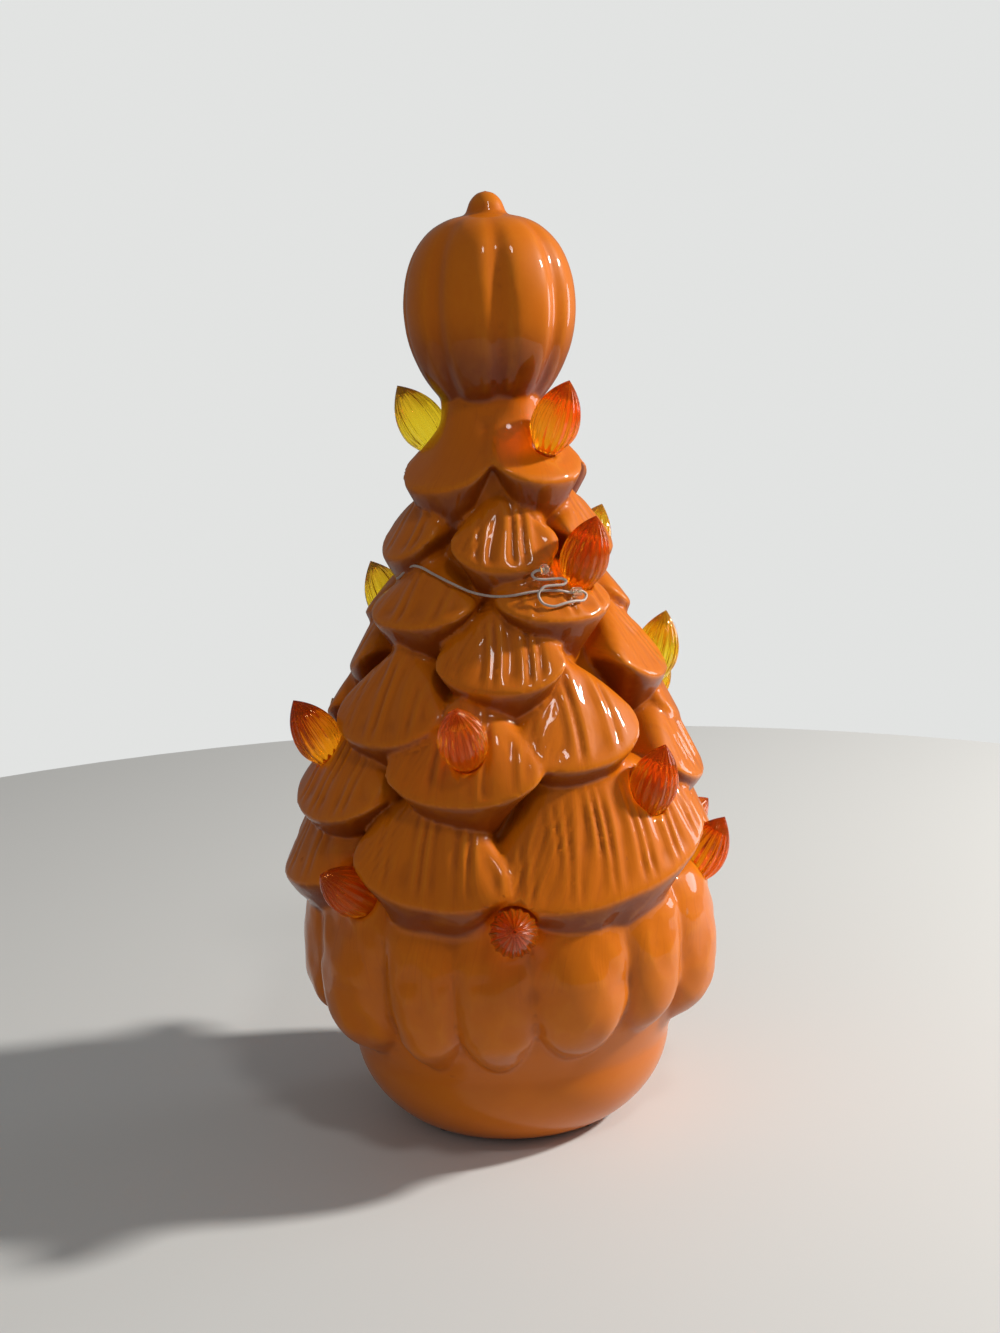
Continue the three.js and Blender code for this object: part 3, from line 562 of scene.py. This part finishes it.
def stem_shell():
    outline = [(0, PUMPKIN_TOP - STEM_ROOT), (STEM_RADIUS + STEM_FLARE, PUMPKIN_TOP - STEM_ROOT)]
    steps = 12
    for i in range(steps + 1):
        angle = i / steps * math.pi / 2
        outline.append((STEM_RADIUS * math.cos(angle), mix(PUMPKIN_TOP, STEM_TOP, math.sin(angle))))
    return turned(outline, 48)


# %% [markdown]
# Slip casting leaves no sharp inner corners, and the glaze fills them a little more. A voxel remesh of
# all the overlapping shells fuses them into one skin, and a few rounds of smoothing turn its creases
# into small fillets. Modifiers do both, and the result is read back as a plain mesh.

# %% Fuse the body
VOXEL = 0.5
SOFTEN_ROUNDS = 18


def after_modifiers(piece):
    """The piece's mesh with its modifiers applied, in place of the old one."""
    graph = bpy.context.evaluated_depsgraph_get()
    graph.update()
    data = bpy.data.meshes.new_from_object(piece.evaluated_get(graph))
    piece.modifiers.clear()
    old, piece.data = piece.data, data
    bpy.data.meshes.remove(old)
    return piece


body_bm = core_shell()
for shell in (pumpkin_shell(), stem_shell(), *(bulge_shell(shape) for shape in bulges)):
    added(body_bm, shell)
body = as_object("glazed_tree", body_bm)
remesh = body.modifiers.new("fuse", "REMESH")
remesh.mode = "VOXEL"
remesh.voxel_size = VOXEL * MM
remesh.adaptivity = 0
soften = body.modifiers.new("soften", "SMOOTH")
soften.factor = 0.5
soften.iterations = SOFTEN_ROUNDS
after_modifiers(body)
print("fused skin, faces:", len(body.data.polygons))

# %% [markdown]
# Veins fan out over each branch from its peak to its lip. They are shallow valleys pressed into the mould,
# so they are real relief and not only shading. For every point of the skin the rule of the bulges says
# which branch lies outermost there and how far across and down it the point is. That gives each valley its
# line, and the same numbers are used again for the glaze's streaks.

# %% Find the branch under every point


def outermost(places):
    """For each place: its bulge's number, how far across, down and aside (mm) it is, and how far off."""
    turn = np.arctan2(places[:, 0], -places[:, 1])
    reach = np.hypot(places[:, 0], places[:, 1])
    best = np.full(len(places), -1e9)
    found = np.full((len(places), 4), -1.0)
    for shape in bulges:
        off = (turn - math.radians(shape.turn) + math.pi) % math.tau - math.pi
        lift = np.zeros(len(places))
        for _ in range(3):
            run = (shape.peak[0] - places[:, 2] + lift) / (shape.peak[0] - shape.lip[0])
            inside = np.clip(run, 0, 1)
            side = off / (shape.half * np.maximum(width_at(shape, inside), 1e-3))
            across = np.clip(side, -1, 1)
            lift = raised_at(shape, across) * np.sin(inside * shape.lip_row * math.pi)
        front = np.sqrt(1 - across**2)
        top = mix(shape.peak[1], shape.lip[1], inside**shape.crown)
        out = mix(core_reach(places[:, 2]) - BURIED, top, front ** squareness(shape, inside))
        here = (np.abs(side) < 1) & (run > 0) & (run < 1.1) & (out > best)
        best[here] = out[here]
        found[here] = np.stack([np.full(len(places), shape.number), across, run, off * reach], 1)[here]
    return found[:, 0].astype(int), found[:, 1], found[:, 2], found[:, 3], reach - best


def vertex_places(data):
    places = np.zeros(len(data.vertices) * 3)
    data.vertices.foreach_get("co", places)
    return places.reshape(-1, 3) / MM


def vertex_normals(data):
    normals = np.zeros(len(data.vertices) * 3)
    data.vertex_normals.foreach_get("vector", normals)
    return normals.reshape(-1, 3)


def eased(value, low, high):
    """A smooth step from 0 at low to 1 at high."""
    share = np.clip((value - low) / (high - low), 0, 1)
    return share * share * (3 - 2 * share)


# %% [markdown]
# The valleys lie closer together at a leaf's peak than at its lip, and waver a little, because the mould's
# maker drew them by hand. Each leaf has its own spacing and slant. They fade at the peak, the lip and the
# sides, and in patches where the slip filled them. A leaf's left flank has weaker valleys and fine
# slanting lines instead.

# %% Press the veins
VEIN_DEPTH = 0.44
VEIN_PITCH = 3.6
VEIN_SHARPNESS = 1.2
PEAK_CROWDING = 1.5
LIP_SPREAD = 0.55
VEIN_PATCH = 9
FINE_DEPTH = 0.1
FINE_PITCH = 1.5
FINE_SLANT = 0.7
FLANK_LOSS = 0.6


def vein_valleys(number, aside, run):
    """The depth of the vein relief, 0 on a ridge and 1 in a valley, and how many veins aside it is."""
    kinds = np.random.default_rng(11)
    pitch = VEIN_PITCH * kinds.uniform(0.85, 1.25, len(bulges))
    shift = kinds.uniform(0, 1, len(bulges))
    slant = kinds.uniform(-0.2, 0.8, len(bulges))
    crowding = PEAK_CROWDING - LIP_SPREAD * run
    veins = aside / pitch[number] * crowding + slant[number] * run + shift[number]
    veins += 0.2 * np.sin(0.8 * aside + 7 * shift[number]) + 0.1 * np.sin(6 * run + 5 * shift[number])
    return (0.5 + 0.5 * np.cos(veins * math.tau)) ** VEIN_SHARPNESS, veins


veined = np.array([shape.veins for shape in bulges])
places = vertex_places(body.data)
normals = vertex_normals(body.data)
number, across, run, aside, off = outermost(places)
valleys, _ = vein_valleys(number, aside, run)
fade = eased(run, 0.05, 0.4) * (1 - eased(run, 0.8, 1.0)) * (1 - eased(np.abs(across), 0.8, 0.97))
fade *= (1 - eased(np.abs(off), 1.0, 2.6)) * (veined[number] & (number >= 0)) * (normals[:, 2] > -0.2)
fine = 0.5 + 0.5 * np.cos((aside - FINE_SLANT * places[:, 2]) / FINE_PITCH * math.tau)
left_flank = 1 - eased(across, -0.6, -0.3)
fine *= left_flank
valleys *= 1 - FLANK_LOSS * left_flank
patches = np.array([noise.noise(Vector(place) / VEIN_PATCH) for place in places])
fade *= 0.5 + 0.5 * eased(patches, -0.35, 0.2)
places -= normals * ((VEIN_DEPTH * valleys + FINE_DEPTH * fine) * fade)[:, None]
print("points with veins:", int((fade > 0.5).sum()))

# %% [markdown]
# Hand-finished clay is never quite even. Slow dents, wider than a vein and stretched a little upwards, are
# pressed into the skirt's lobes, and much weaker ones all over from the pot's middle up. They may hardly
# swell outwards, so the tree keeps its size.

# %% Press the dents
DENT_SIZE = 11
DENT_STRETCH = 0.6
SMALL_DENT_SHARE = 0.4
SMALL_DENT_RATE = 2.2
MOST_SWELLING = 0.15
SKIRT_MIDDLE = 36
SKIRT_DENTS = 1.1
OTHER_DENTS = 0.2


def dent_at(x, y, z):
    """How far the clay swells there, from a large wave and a small one on it."""
    large = noise.noise(Vector((x, y, z * DENT_STRETCH)) / DENT_SIZE)
    small = noise.noise(Vector((x, y, z)) / DENT_SIZE * SMALL_DENT_RATE)
    return large + SMALL_DENT_SHARE * small


dents = np.minimum([dent_at(*place) for place in places], MOST_SWELLING)
skirt = 1 - eased(np.abs(places[:, 2] - SKIRT_MIDDLE), 12, 20)
dents *= mix(OTHER_DENTS, SKIRT_DENTS, skirt) * eased(places[:, 2], 16, 22)
places += normals * dents[:, None]
body.data.vertices.foreach_set("co", (places * MM).ravel())
body.data.update()
print("deepest dent, mm:", round(float(-dents.min()), 2))

# %% [markdown]
# The inside is hollow: the slip leaves a wall about 4 mm thick, and the mould's foot is open so that the
# light unit fits in. The bulbs' holes are bored before firing, one peg hole with a shallow dish, and a
# narrow way for the light behind it. Cutting them from the skin with a boolean keeps their rims crisp.

# %% Cut the hollow, the foot hole and the bulbs' holes
PEG_LENGTH = 6.5
PEG_RADIUS = 1.7
BULB_RADIUS = 4.6
BULB_BASE = 2.5
BULB_LENGTH = 14.2
POCKET_DEPTH = 0.8
DISH_HEIGHT = 3.8
LIGHT_WAY = 0.75
CUT_OVERRUN = 2
FOOT_HOLE_RADIUS = 16.8
FOOT_HOLE_TOP = 5.8
POT_HOLLOW = [(23.6, FOOT_HOLE_TOP), (25.6, 8.8), (27.9, 16)]
HOLLOW_LEVELS = (27, 47, 118, NECK_TOP)
RIB_ALLOWANCE = 1.1
PUMPKIN_HOLLOW = (156.5, 164.5)
HOLLOW_TOP = 172.1


def hollow_cutter():
    inside = [(0, FOOT_HOLE_TOP), *POT_HOLLOW]
    inside += [(float(core_reach(h)) - WALL, h) for h in HOLLOW_LEVELS]
    inside += [(PUMPKIN_RADIUS - RIB_ALLOWANCE - WALL, h) for h in PUMPKIN_HOLLOW]
    inside += [(NECK_RADIUS - WALL, HOLLOW_TOP), (0, HOLLOW_TOP)]
    return turned(inside, 64)


def bulb_seat(name):
    """Where the bulb's foot stands, and the line it leans along, from the frame's joint and node."""
    joint = next(j for j in frame["joints"] if j["child"] == name)
    along = Vector(joint["axis"]).normalized()
    verts = [v.co / MM for v in frame["nodes"][name].data.vertices]
    low = min(v.dot(along) for v in verts)
    foot = [v for v in verts if v.dot(along) < low + 0.05]
    middle = sum(foot, Vector()) / len(foot)
    middle += along * (low - middle.dot(along))
    return middle + along * PEG_LENGTH, along


def bulb_hole():
    peg, pocket, dish = PEG_RADIUS + CLEARANCE, BULB_BASE + CLEARANCE, BULB_RADIUS + CLEARANCE
    bottom = -PEG_LENGTH - CLEARANCE
    return turned([
        (0, bottom), (peg, bottom), (peg, -POCKET_DEPTH), (pocket, -CLEARANCE), (dish, DISH_HEIGHT),
        (dish, BULB_LENGTH / 2), (0, BULB_LENGTH / 2),
    ], 40)


def light_way(seat, along):
    """A level cutter from the peg's end to the hollow."""
    end = seat - along * PEG_LENGTH
    level = Vector((end.x, end.y, 0))
    length = max(CUT_OVERRUN, level.length - float(core_reach(end.z)) + WALL + CUT_OVERRUN)
    way = turned([(0, 0), (LIGHT_WAY, 0), (LIGHT_WAY, length), (0, length)], 16)
    return stood(way, end, -level.normalized())


BULBS = sorted(name for name in frame["nodes"] if name.startswith("bulb_"))
seats = {name: bulb_seat(name) for name in BULBS}
foot_hole = [(0, -1), (FOOT_HOLE_RADIUS, -1), (FOOT_HOLE_RADIUS, 7), (0, 7)]
cutters = [hollow_cutter(), turned(foot_hole, 96)]
for seat, along in seats.values():
    cutters.append(stood(bulb_hole(), seat, along))
    cutters.append(light_way(seat, along))
tools = bpy.data.collections.new("cutters")
scene.collection.children.link(tools)
for count, cutter in enumerate(cutters):
    tool = as_object(f"cutter_{count}", cutter)
    tools.objects.link(tool)
cut = body.modifiers.new("cut", "BOOLEAN")
cut.operation = "DIFFERENCE"
cut.solver = "MANIFOLD"
cut.operand_type = "COLLECTION"
cut.collection = tools
after_modifiers(body)
for tool in list(tools.objects):
    bpy.data.objects.remove(tool)
bpy.data.collections.remove(tools)
print("after cutting, faces:", len(body.data.polygons))

# %% [markdown]
# The skin now has far more faces than its shape needs. Thinning it keeps the fine relief where the
# surface bends and lets flat stretches have larger triangles.

# %% Thin the skin
MOST_TRIANGLES = 190000
triangles = sum(len(face.vertices) - 2 for face in body.data.polygons)
thin = body.modifiers.new("thin", "DECIMATE")
thin.ratio = min(1, MOST_TRIANGLES / triangles)
thin.use_collapse_triangulate = True
after_modifiers(body)
body.data.shade_smooth()
print("thinned skin, triangles:", len(body.data.polygons))

# %% [markdown]
# Glaze runs off ridges and pools in valleys, where it looks deeper and redder. To know where that is, the
# skin is compared with smoother copies of itself: a point below such a copy lies in a valley. The broad
# copy also marks the hollows under the lips, where that darkening is partly painted shade. How much a
# point faces down is kept as well, for painted shade: fully under the branches, and only a little on the
# skirt. The branch coordinates are kept too, so that fine streaks follow each leaf.

# %% Measure the pools, the painted shade and the streak lines


def keep_on_points(data, name, values):
    layer = data.attributes.new(name, "FLOAT", "POINT")
    layer.data.foreach_set("value", np.asarray(values, dtype=np.float32))


def pooled(piece, rounds):
    """How far each point lies under a smoothed copy of the skin, in millimetres."""
    copy = bpy.data.objects.new("smoother", piece.data.copy())
    scene.collection.objects.link(copy)
    calm = copy.modifiers.new("calm", "SMOOTH")
    calm.factor = 0.5
    calm.iterations = rounds
    after_modifiers(copy)
    gap = ((vertex_places(copy.data) - vertex_places(piece.data)) * vertex_normals(piece.data)).sum(1)
    bpy.data.objects.remove(copy)
    return gap


places = vertex_places(body.data)
number, across, run, aside, off = outermost(places)
_, veins = vein_valleys(number, aside, run)
on_branch = (1 - eased(np.abs(off), 1.0, 3.0)) * (number >= 0)
keep_on_points(body.data, "fine_pool", np.clip(pooled(body, 6) / 0.12, -1, 1))
# The broad comparison finds wide hollows, mostly under the lips; their darkening is partly glaze pooling
# and partly painted shade.
keep_on_points(body.data, "wide_pool", np.clip(pooled(body, 60) / 1.2, -1, 1))
keep_on_points(body.data, "fan", veins)
keep_on_points(body.data, "down", run)
keep_on_points(body.data, "branch", number * on_branch)
keep_on_points(body.data, "on_branch", on_branch)
# Painted shade: points that face down get the dark glaze colour, fully under the branches and a little on
# the skirt.
downward = -vertex_normals(body.data)[:, 2]
above_skirt = eased(places[:, 2], 30, 46)
facing_down = mix(0.6 * eased(downward, 0.35, 0.9) * eased(places[:, 2], 14, 20),
                  eased(downward, 0, 0.5), above_skirt)
keep_on_points(body.data, "facing_down", facing_down)
print("skin attributes:", [a.name for a in body.data.attributes if not a.is_internal])

# %% [markdown]
# A finish is a small network of nodes. These helpers keep each one readable: one starts a material with
# its shader's plain values, one adds a node with its inputs, and one turns a height into a bump.

# %% Helpers for finishes


class Finish:
    """A material under construction."""

    def __init__(self, name, **values):
        self.material = bpy.data.materials.new(name)
        self.material.use_nodes = True
        self.tree = self.material.node_tree
        self.shader = self.tree.nodes["Principled BSDF"]
        for key, value in values.items():
            self.shader.inputs[key.replace("_", " ")].default_value = value

    def node(self, kind, settings=None, **inputs):
        made = self.tree.nodes.new("ShaderNode" + kind)
        for key, value in (settings or {}).items():
            setattr(made, key, value)
        for key, value in inputs.items():
            socket = made.inputs[int(key[1:])] if key[0] == "i" and key[1:].isdigit() else made.inputs[key]
            if hasattr(value, "is_output"):
                self.tree.links.new(value, socket)
            else:
                socket.default_value = value
        return made

    def feed(self, output, socket):
        self.tree.links.new(output, self.shader.inputs[socket])

    def place(self, scale=(1, 1, 1)):
        where = self.node("TexCoord").outputs["Object"]
        return self.node("Mapping", Vector=where, Scale=scale).outputs[0]

    def kept(self, name):
        return self.node("Attribute", {"attribute_name": name}).outputs["Fac"]

    def noise(self, vector, scale, detail=2.0, roughness=0.5):
        made = self.node("TexNoise", Vector=vector, Scale=scale, Detail=detail, Roughness=roughness)
        return made.outputs["Fac"]

    def math(self, operation, first, second=0.0):
        return self.node("Math", {"operation": operation}, i0=first, i1=second).outputs[0]

    def stepped(self, value, low, high, to_low=0.0, to_high=1.0):
        return self.node("MapRange", i0=value, i1=low, i2=high, i3=to_low, i4=to_high).outputs[0]

    def blend(self, share, first, second):
        made = self.node("Mix", {"data_type": "RGBA"}, i0=share, i6=first, i7=second)
        return made.outputs[2]

    def bump(self, height, depth, strength=1.0, after=None):
        made = self.node("Bump", Height=height, Distance=depth * MM, Strength=strength)
        if after is not None:
            self.tree.links.new(after, made.inputs["Normal"])
        return made.outputs["Normal"]


def colour(code):
    """A colour as the shader wants it, from its usual six-digit code."""
    parts = [int(code[i:i + 2], 16) / 255 for i in (0, 2, 4)]
    return (*(p / 12.92 if p <= 0.04045 else ((p + 0.055) / 1.055) ** 2.4 for p in parts), 1)


# %% [markdown]
# The glaze is a clear glossy coat over strong orange. It breaks lighter on ridges and lips, pools to a
# red-brown in valleys, and shows faint streaks down each leaf. The same red-brown is painted shade under
# the branches and, in part, in the broad hollows. The coat itself is nearly mirror smooth, with the slow
# ripple of fired glaze.

# %% Orange glaze


def orange_glaze():
    glaze = Finish("orange_glaze_fired", Roughness=0.45, Specular_IOR_Level=0.08, Coat_Weight=0.6,
                   Coat_Roughness=0.035, Coat_IOR=1.38)
    place = glaze.place()
    cloud = glaze.noise(place, 55, 3)
    base = glaze.blend(cloud, colour("bd5f04"), colour("cb6b05"))
    fine = glaze.stepped(glaze.kept("fine_pool"), 0.05, 0.8, 0.0, 0.4)
    # Wide hollows darken partly from pooled glaze and partly as painted shade.
    wide = glaze.stepped(glaze.kept("wide_pool"), 0.2, 1.0, 0.0, 0.9)
    # Painted shade on downward faces, under the branches and a little on the skirt.
    under_shade_share = glaze.math("MULTIPLY", glaze.kept("facing_down"), 0.85)
    pools = glaze.math("MAXIMUM", glaze.math("MAXIMUM", fine, wide), under_shade_share)
    base = glaze.blend(pools, base, colour("702a04"))
    ridge = glaze.stepped(glaze.kept("fine_pool"), -0.15, -0.9, 0.0, 0.45)
    base = glaze.blend(ridge, base, colour("d67f14"))
    lines = glaze.node("CombineXYZ", X=glaze.math("MULTIPLY", glaze.kept("fan"), 3.0),
                       Y=glaze.math("MULTIPLY", glaze.kept("down"), 0.7),
                       Z=glaze.math("MULTIPLY", glaze.kept("branch"), 3.7)).outputs[0]
    streak = glaze.noise(lines, 2.2, 3)
    streaks = glaze.math("MULTIPLY", glaze.stepped(streak, 0.52, 0.72), glaze.kept("on_branch"))
    base = glaze.blend(glaze.math("MULTIPLY", streaks, 0.25), base, colour("a84e0b"))
    glaze.feed(base, "Base Color")
    ripple = glaze.noise(place, 260, 2)
    glaze.feed(glaze.bump(ripple, 0.05, 0.5, glaze.bump(streak, 0.05, 0.5)), "Normal")
    return glaze.material


body.data.materials.clear()
body.data.materials.append(orange_glaze())
body.data.polygons.foreach_set("material_index", [0] * len(body.data.polygons))
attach(body, "tree")
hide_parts("ceramic_tree")

# %% [markdown]
# Each bulb is one moulding of clear plastic: a peg, and a flame with seventeen flutes that run up to
# its tip. A turned outline gives the flame, and pressing its points in along the flutes gives
# the ribs. How far up the flame a point is, is kept for the colour, which deepens to the tip.

# %% Fluted bulbs
FLAME_RADIUS = BULB_RADIUS - 0.03
FLAME_LENGTH = BULB_LENGTH - 0.02
FLUTES = 17
FLUTE_DEPTH = 0.08
FLUTE_SHARPNESS = 1.5
PLAIN_FOOT = 0.02
WIDEST = 5.1
POINTEDNESS = 2.2


def flame_outline(low_steps=8, high_steps=17):
    """Pairs of radius and height, from the flame's foot over its widest level to just under its tip."""
    outline = []
    for i in range(low_steps):
        share = i / low_steps
        swell = math.sin(share * math.pi / 2)
        outline.append((mix(BULB_BASE, FLAME_RADIUS, swell), share * WIDEST))
    for i in range(high_steps):
        share = i / high_steps
        outline.append((FLAME_RADIUS * (1 - share**POINTEDNESS), mix(WIDEST, FLAME_LENGTH, share)))
    return outline


def bulb_shape():
    """A bulb that stands on the origin, with its peg below."""
    peg = [(0, -PEG_LENGTH), (PEG_RADIUS - 0.3, -PEG_LENGTH), (PEG_RADIUS, -PEG_LENGTH + 0.4)]
    peg += [(PEG_RADIUS, -1), (PEG_RADIUS, 0)]
    bm = turned([*peg, *flame_outline(), (0, FLAME_LENGTH)], FLUTES * 6)
    rise = bm.verts.layers.float.new("rise")
    for vert in bm.verts:
        share = vert.co.z / BULB_LENGTH
        vert[rise] = share
        if share > PLAIN_FOOT and vert.co.xy.length > 0.05:
            wave = abs(math.cos(math.atan2(vert.co.y, vert.co.x) * FLUTES / 2)) ** FLUTE_SHARPNESS
            press = FLUTE_DEPTH * wave * min(1, share * 6)
            vert.co.x *= 1 - press
            vert.co.y *= 1 - press
    return bm


def bulb_plastic(name, low, high, tip):
    plastic = Finish(name, Roughness=0.03, IOR=1.45, Transmission_Weight=0.85,
                     Specular_Tint=colour("ffd09a"))
    up = plastic.kept("rise")
    tone = plastic.blend(plastic.stepped(up, 0.0, 0.5), colour(low), colour(high))
    tone = plastic.blend(plastic.stepped(up, 0.45, 1.0), tone, colour(tip))
    swirl = plastic.noise(plastic.place((1, 1, 0.4)), 420, 2)
    plastic.feed(plastic.blend(plastic.stepped(swirl, 0.35, 0.75, 0, 0.3), tone, colour(low)), "Base Color")
    plastic.feed(plastic.bump(swirl, 0.03, 0.4), "Normal")
    return plastic.material


amber_plastic = bulb_plastic("amber_bulb_plastic", "ffb01c", "ff8410", "ff6008")
yellow_plastic = bulb_plastic("yellow_bulb_plastic", "ffe63a", "ffd828", "ffb41e")
slots = {part["node"]: part["material_slot"] for part in frame["record"]["subparts"]}
for name, (seat, along) in seats.items():
    piece = as_object(name + "_flame", stood(bulb_shape(), seat, along), 60)
    piece.data.materials.append(yellow_plastic if slots[name] == "yellow_plastic" else amber_plastic)
    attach(piece, name)
    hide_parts(name)
print("bulbs:", len(seats), "triangles each about", len(piece.data.polygons) * 2)

# %% [markdown]
# The string is a pale twisted thread with a little shine. It is a curve already, so it only needs its
# finish. Its lock is a small clear sleeve, turned like the other round pieces, and a bead is a clear ball,
# pressed in where the thread enters.

# %% String, lock and beads
BEAD_RADIUS = 1
BEAD_DIMPLE = 0.35
LOCK_RADIUS = 0.9
LOCK_FACE_RADIUS = 0.75
LOCK_BARREL = 0.7


def thread_finish():
    thread = Finish("pale_thread", Roughness=0.45, Sheen_Weight=0.2)
    twist = thread.noise(thread.place(), 2600, 2)
    thread.feed(thread.blend(twist, colour("94847a"), colour("c6b5a9")), "Base Color")
    thread.feed(thread.bump(twist, 0.05, 0.6), "Normal")
    return thread.material


def clear_plastic_finish():
    clear = Finish("clear_moulded_plastic", Roughness=0.08, IOR=1.44, Transmission_Weight=0.9)
    cloud = clear.noise(clear.place(), 900, 2)
    clear.feed(clear.blend(cloud, colour("f2e2c6"), colour("f8efdc")), "Base Color")
    clear.feed(clear.bump(cloud, 0.02, 0.4), "Normal")
    return clear.material


thread = thread_finish()
clear_plastic = clear_plastic_finish()
for cord in (tag_string, tag_loop):
    cord.data.materials.append(thread)
    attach(cord, "tree")
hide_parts("tag_string")
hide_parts("tag_loop")

bore = STRING_RADIUS + CLEARANCE


def carried(piece, rides_on, node, finish):
    """Gives a piece its finish, puts it on the body it rides on, and hides the node it stands for."""
    piece.data.materials.append(finish)
    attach(piece, rides_on)
    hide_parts(node)
    return piece


def threaded_bead(name, node, centre, towards):
    """A ball, pressed in on the side where the thread comes from."""
    bm = bmesh.new()
    bmesh.ops.create_uvsphere(bm, u_segments=32, v_segments=20, radius=BEAD_RADIUS)
    rim = [v for v in bm.verts if v.co.z > 0 and v.co.xy.length < bore * 0.9]
    for vert in rim:
        vert.co.z -= BEAD_DIMPLE
    stood(bm, centre, (towards - centre).normalized())
    return carried(as_object(name, bm, 50), "tree", node, clear_plastic)


lock_end = LOCK_LENGTH / 2
sleeve = turned([
    (bore, -lock_end), (LOCK_FACE_RADIUS, -lock_end), (LOCK_RADIUS, -LOCK_BARREL),
    (LOCK_RADIUS, LOCK_BARREL), (LOCK_FACE_RADIUS, lock_end), (bore, lock_end), (bore, -lock_end),
], 32)
lock = carried(as_object("tag_lock_sleeve", stood(sleeve, lock_centre, lock_line), 50), "tree",
               "tag_lock", clear_plastic)
bead = threaded_bead("tag_bead_ball", "tag_bead", bead_centre, loop_places[-2])
end_bead = threaded_bead("tag_end_bead_ball", "tag_end_bead", string_places[0], string_places[1])

# %% [markdown]
# Under the foot are four foam feet, and in the hole a soft ring holds the light unit. Foam is cut from
# sheet, so a foot is a disc with a slightly swollen edge. The ring has the ribs that grip the ceramic.

# %% Foam feet and gasket
PAD_RADIUS = 1.9
PAD_EDGE = 0.12
PAD_SWELLING = 0.06
GASKET_INNER = 15.3
GASKET_OUTER = 16.5
GASKET_BOTTOM = 1.1
GASKET_HEIGHT = 4.6
GASKET_STEPS = 8
GASKET_GROOVE = 0.25
GASKET_CHAMFER = 0.2


def foam_finish():
    foam = Finish("dark_foam", Roughness=0.95, Sheen_Weight=0.15)
    cells = foam.node("TexVoronoi", Vector=foam.place(), Scale=2600).outputs["Distance"]
    foam.feed(foam.blend(cells, colour("1c1917"), colour("3a3531")), "Base Color")
    foam.feed(foam.bump(cells, 0.12), "Normal")
    return foam.material


def rubber_finish():
    rubber = Finish("soft_ring_rubber", Roughness=0.6)
    grain = rubber.noise(rubber.place(), 1500, 3)
    rubber.feed(rubber.blend(grain, colour("cfccc5"), colour("dedbd5")), "Base Color")
    rubber.feed(rubber.bump(grain, 0.03, 0.5), "Normal")
    return rubber.material


foam = foam_finish()
for i in range(1, 5):
    low, high = (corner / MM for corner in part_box(f"foot_pad_{i}"))
    middle = (low + high) / 2
    top = high.z - low.z
    pad = turned([
        (0, 0), (PAD_RADIUS - 0.25, 0), (PAD_RADIUS - PAD_SWELLING, PAD_EDGE), (PAD_RADIUS, top / 2),
        (PAD_RADIUS - PAD_SWELLING, top - PAD_EDGE), (PAD_RADIUS - 0.2, top), (0, top),
    ], 32)
    stood(pad, Vector((middle.x, middle.y, low.z)), Vector((0, 0, 1)))
    carried(as_object(f"foot_pad_{i}_foam", pad, 60), "tree", f"foot_pad_{i}", foam)

ribs = []
for i in range(1, GASKET_STEPS):
    height = GASKET_BOTTOM + GASKET_HEIGHT * i / GASKET_STEPS
    ribs.append((GASKET_OUTER - (GASKET_GROOVE if i % 2 else 0), height))
gasket_top = GASKET_BOTTOM + GASKET_HEIGHT
gasket = turned([
    (GASKET_INNER, GASKET_BOTTOM), (GASKET_OUTER - GASKET_CHAMFER, GASKET_BOTTOM), *ribs,
    (GASKET_OUTER - GASKET_CHAMFER, gasket_top), (GASKET_INNER, gasket_top),
    (GASKET_INNER, GASKET_BOTTOM),
], 96)
carried(as_object("light_gasket_ring", gasket, 30), "tree", "light_gasket",
        rubber_finish())

# %% [markdown]
# The light unit is a bought part. Its measured shapes are right already, so those nodes stay and get their
# finishes: satin moulded plastic, plated steel, lacquered board, and clear plastic for lamp and lens.

# %% Finishes of the light unit


def moulded_finish(name, light, dark, roughness):
    plastic = Finish(name, Roughness=roughness)
    grain = plastic.noise(plastic.place(), 1800, 3)
    plastic.feed(plastic.blend(grain, colour(dark), colour(light)), "Base Color")
    plastic.feed(plastic.bump(grain, 0.015, 0.5), "Normal")
    return plastic.material


def steel_finish():
    steel = Finish("plated_steel", Roughness=0.3, Metallic=1.0)
    brushed = steel.noise(steel.place((1, 12, 12)), 400, 3)
    steel.feed(steel.blend(brushed, colour("b4b4b0"), colour("d6d6d2")), "Base Color")
    steel.feed(steel.bump(brushed, 0.01, 0.4), "Normal")
    return steel.material


def board_finish():
    board = Finish("lacquered_board", Roughness=0.4, Coat_Weight=0.3)
    weave = board.node("TexBrick", {"offset": 0.5}, Vector=board.place(), Scale=900).outputs["Fac"]
    tracks = board.noise(board.place(), 300, 1)
    tone = board.blend(board.stepped(tracks, 0.45, 0.55), colour("26592f"), colour("347a44"))
    board.feed(board.blend(board.math("MULTIPLY", weave, 0.25), tone, colour("1d4224")), "Base Color")
    board.feed(board.bump(weave, 0.01, 0.4), "Normal")
    return board.material


finishes = {
    "white_plastic": moulded_finish("satin_white_plastic", "ebe8e2", "dedad2", 0.45),
    "black_plastic": moulded_finish("satin_black_plastic", "222224", "161618", 0.5),
    "steel": steel_finish(),
    "green_board": board_finish(),
    "clear_plastic": clear_plastic,
}
for name, node in frame["nodes"].items():
    if not node.hide_render:
        node.data.materials.clear()
        node.data.materials.append(finishes[slots[name]])
        print("kept node", name, slots[name])
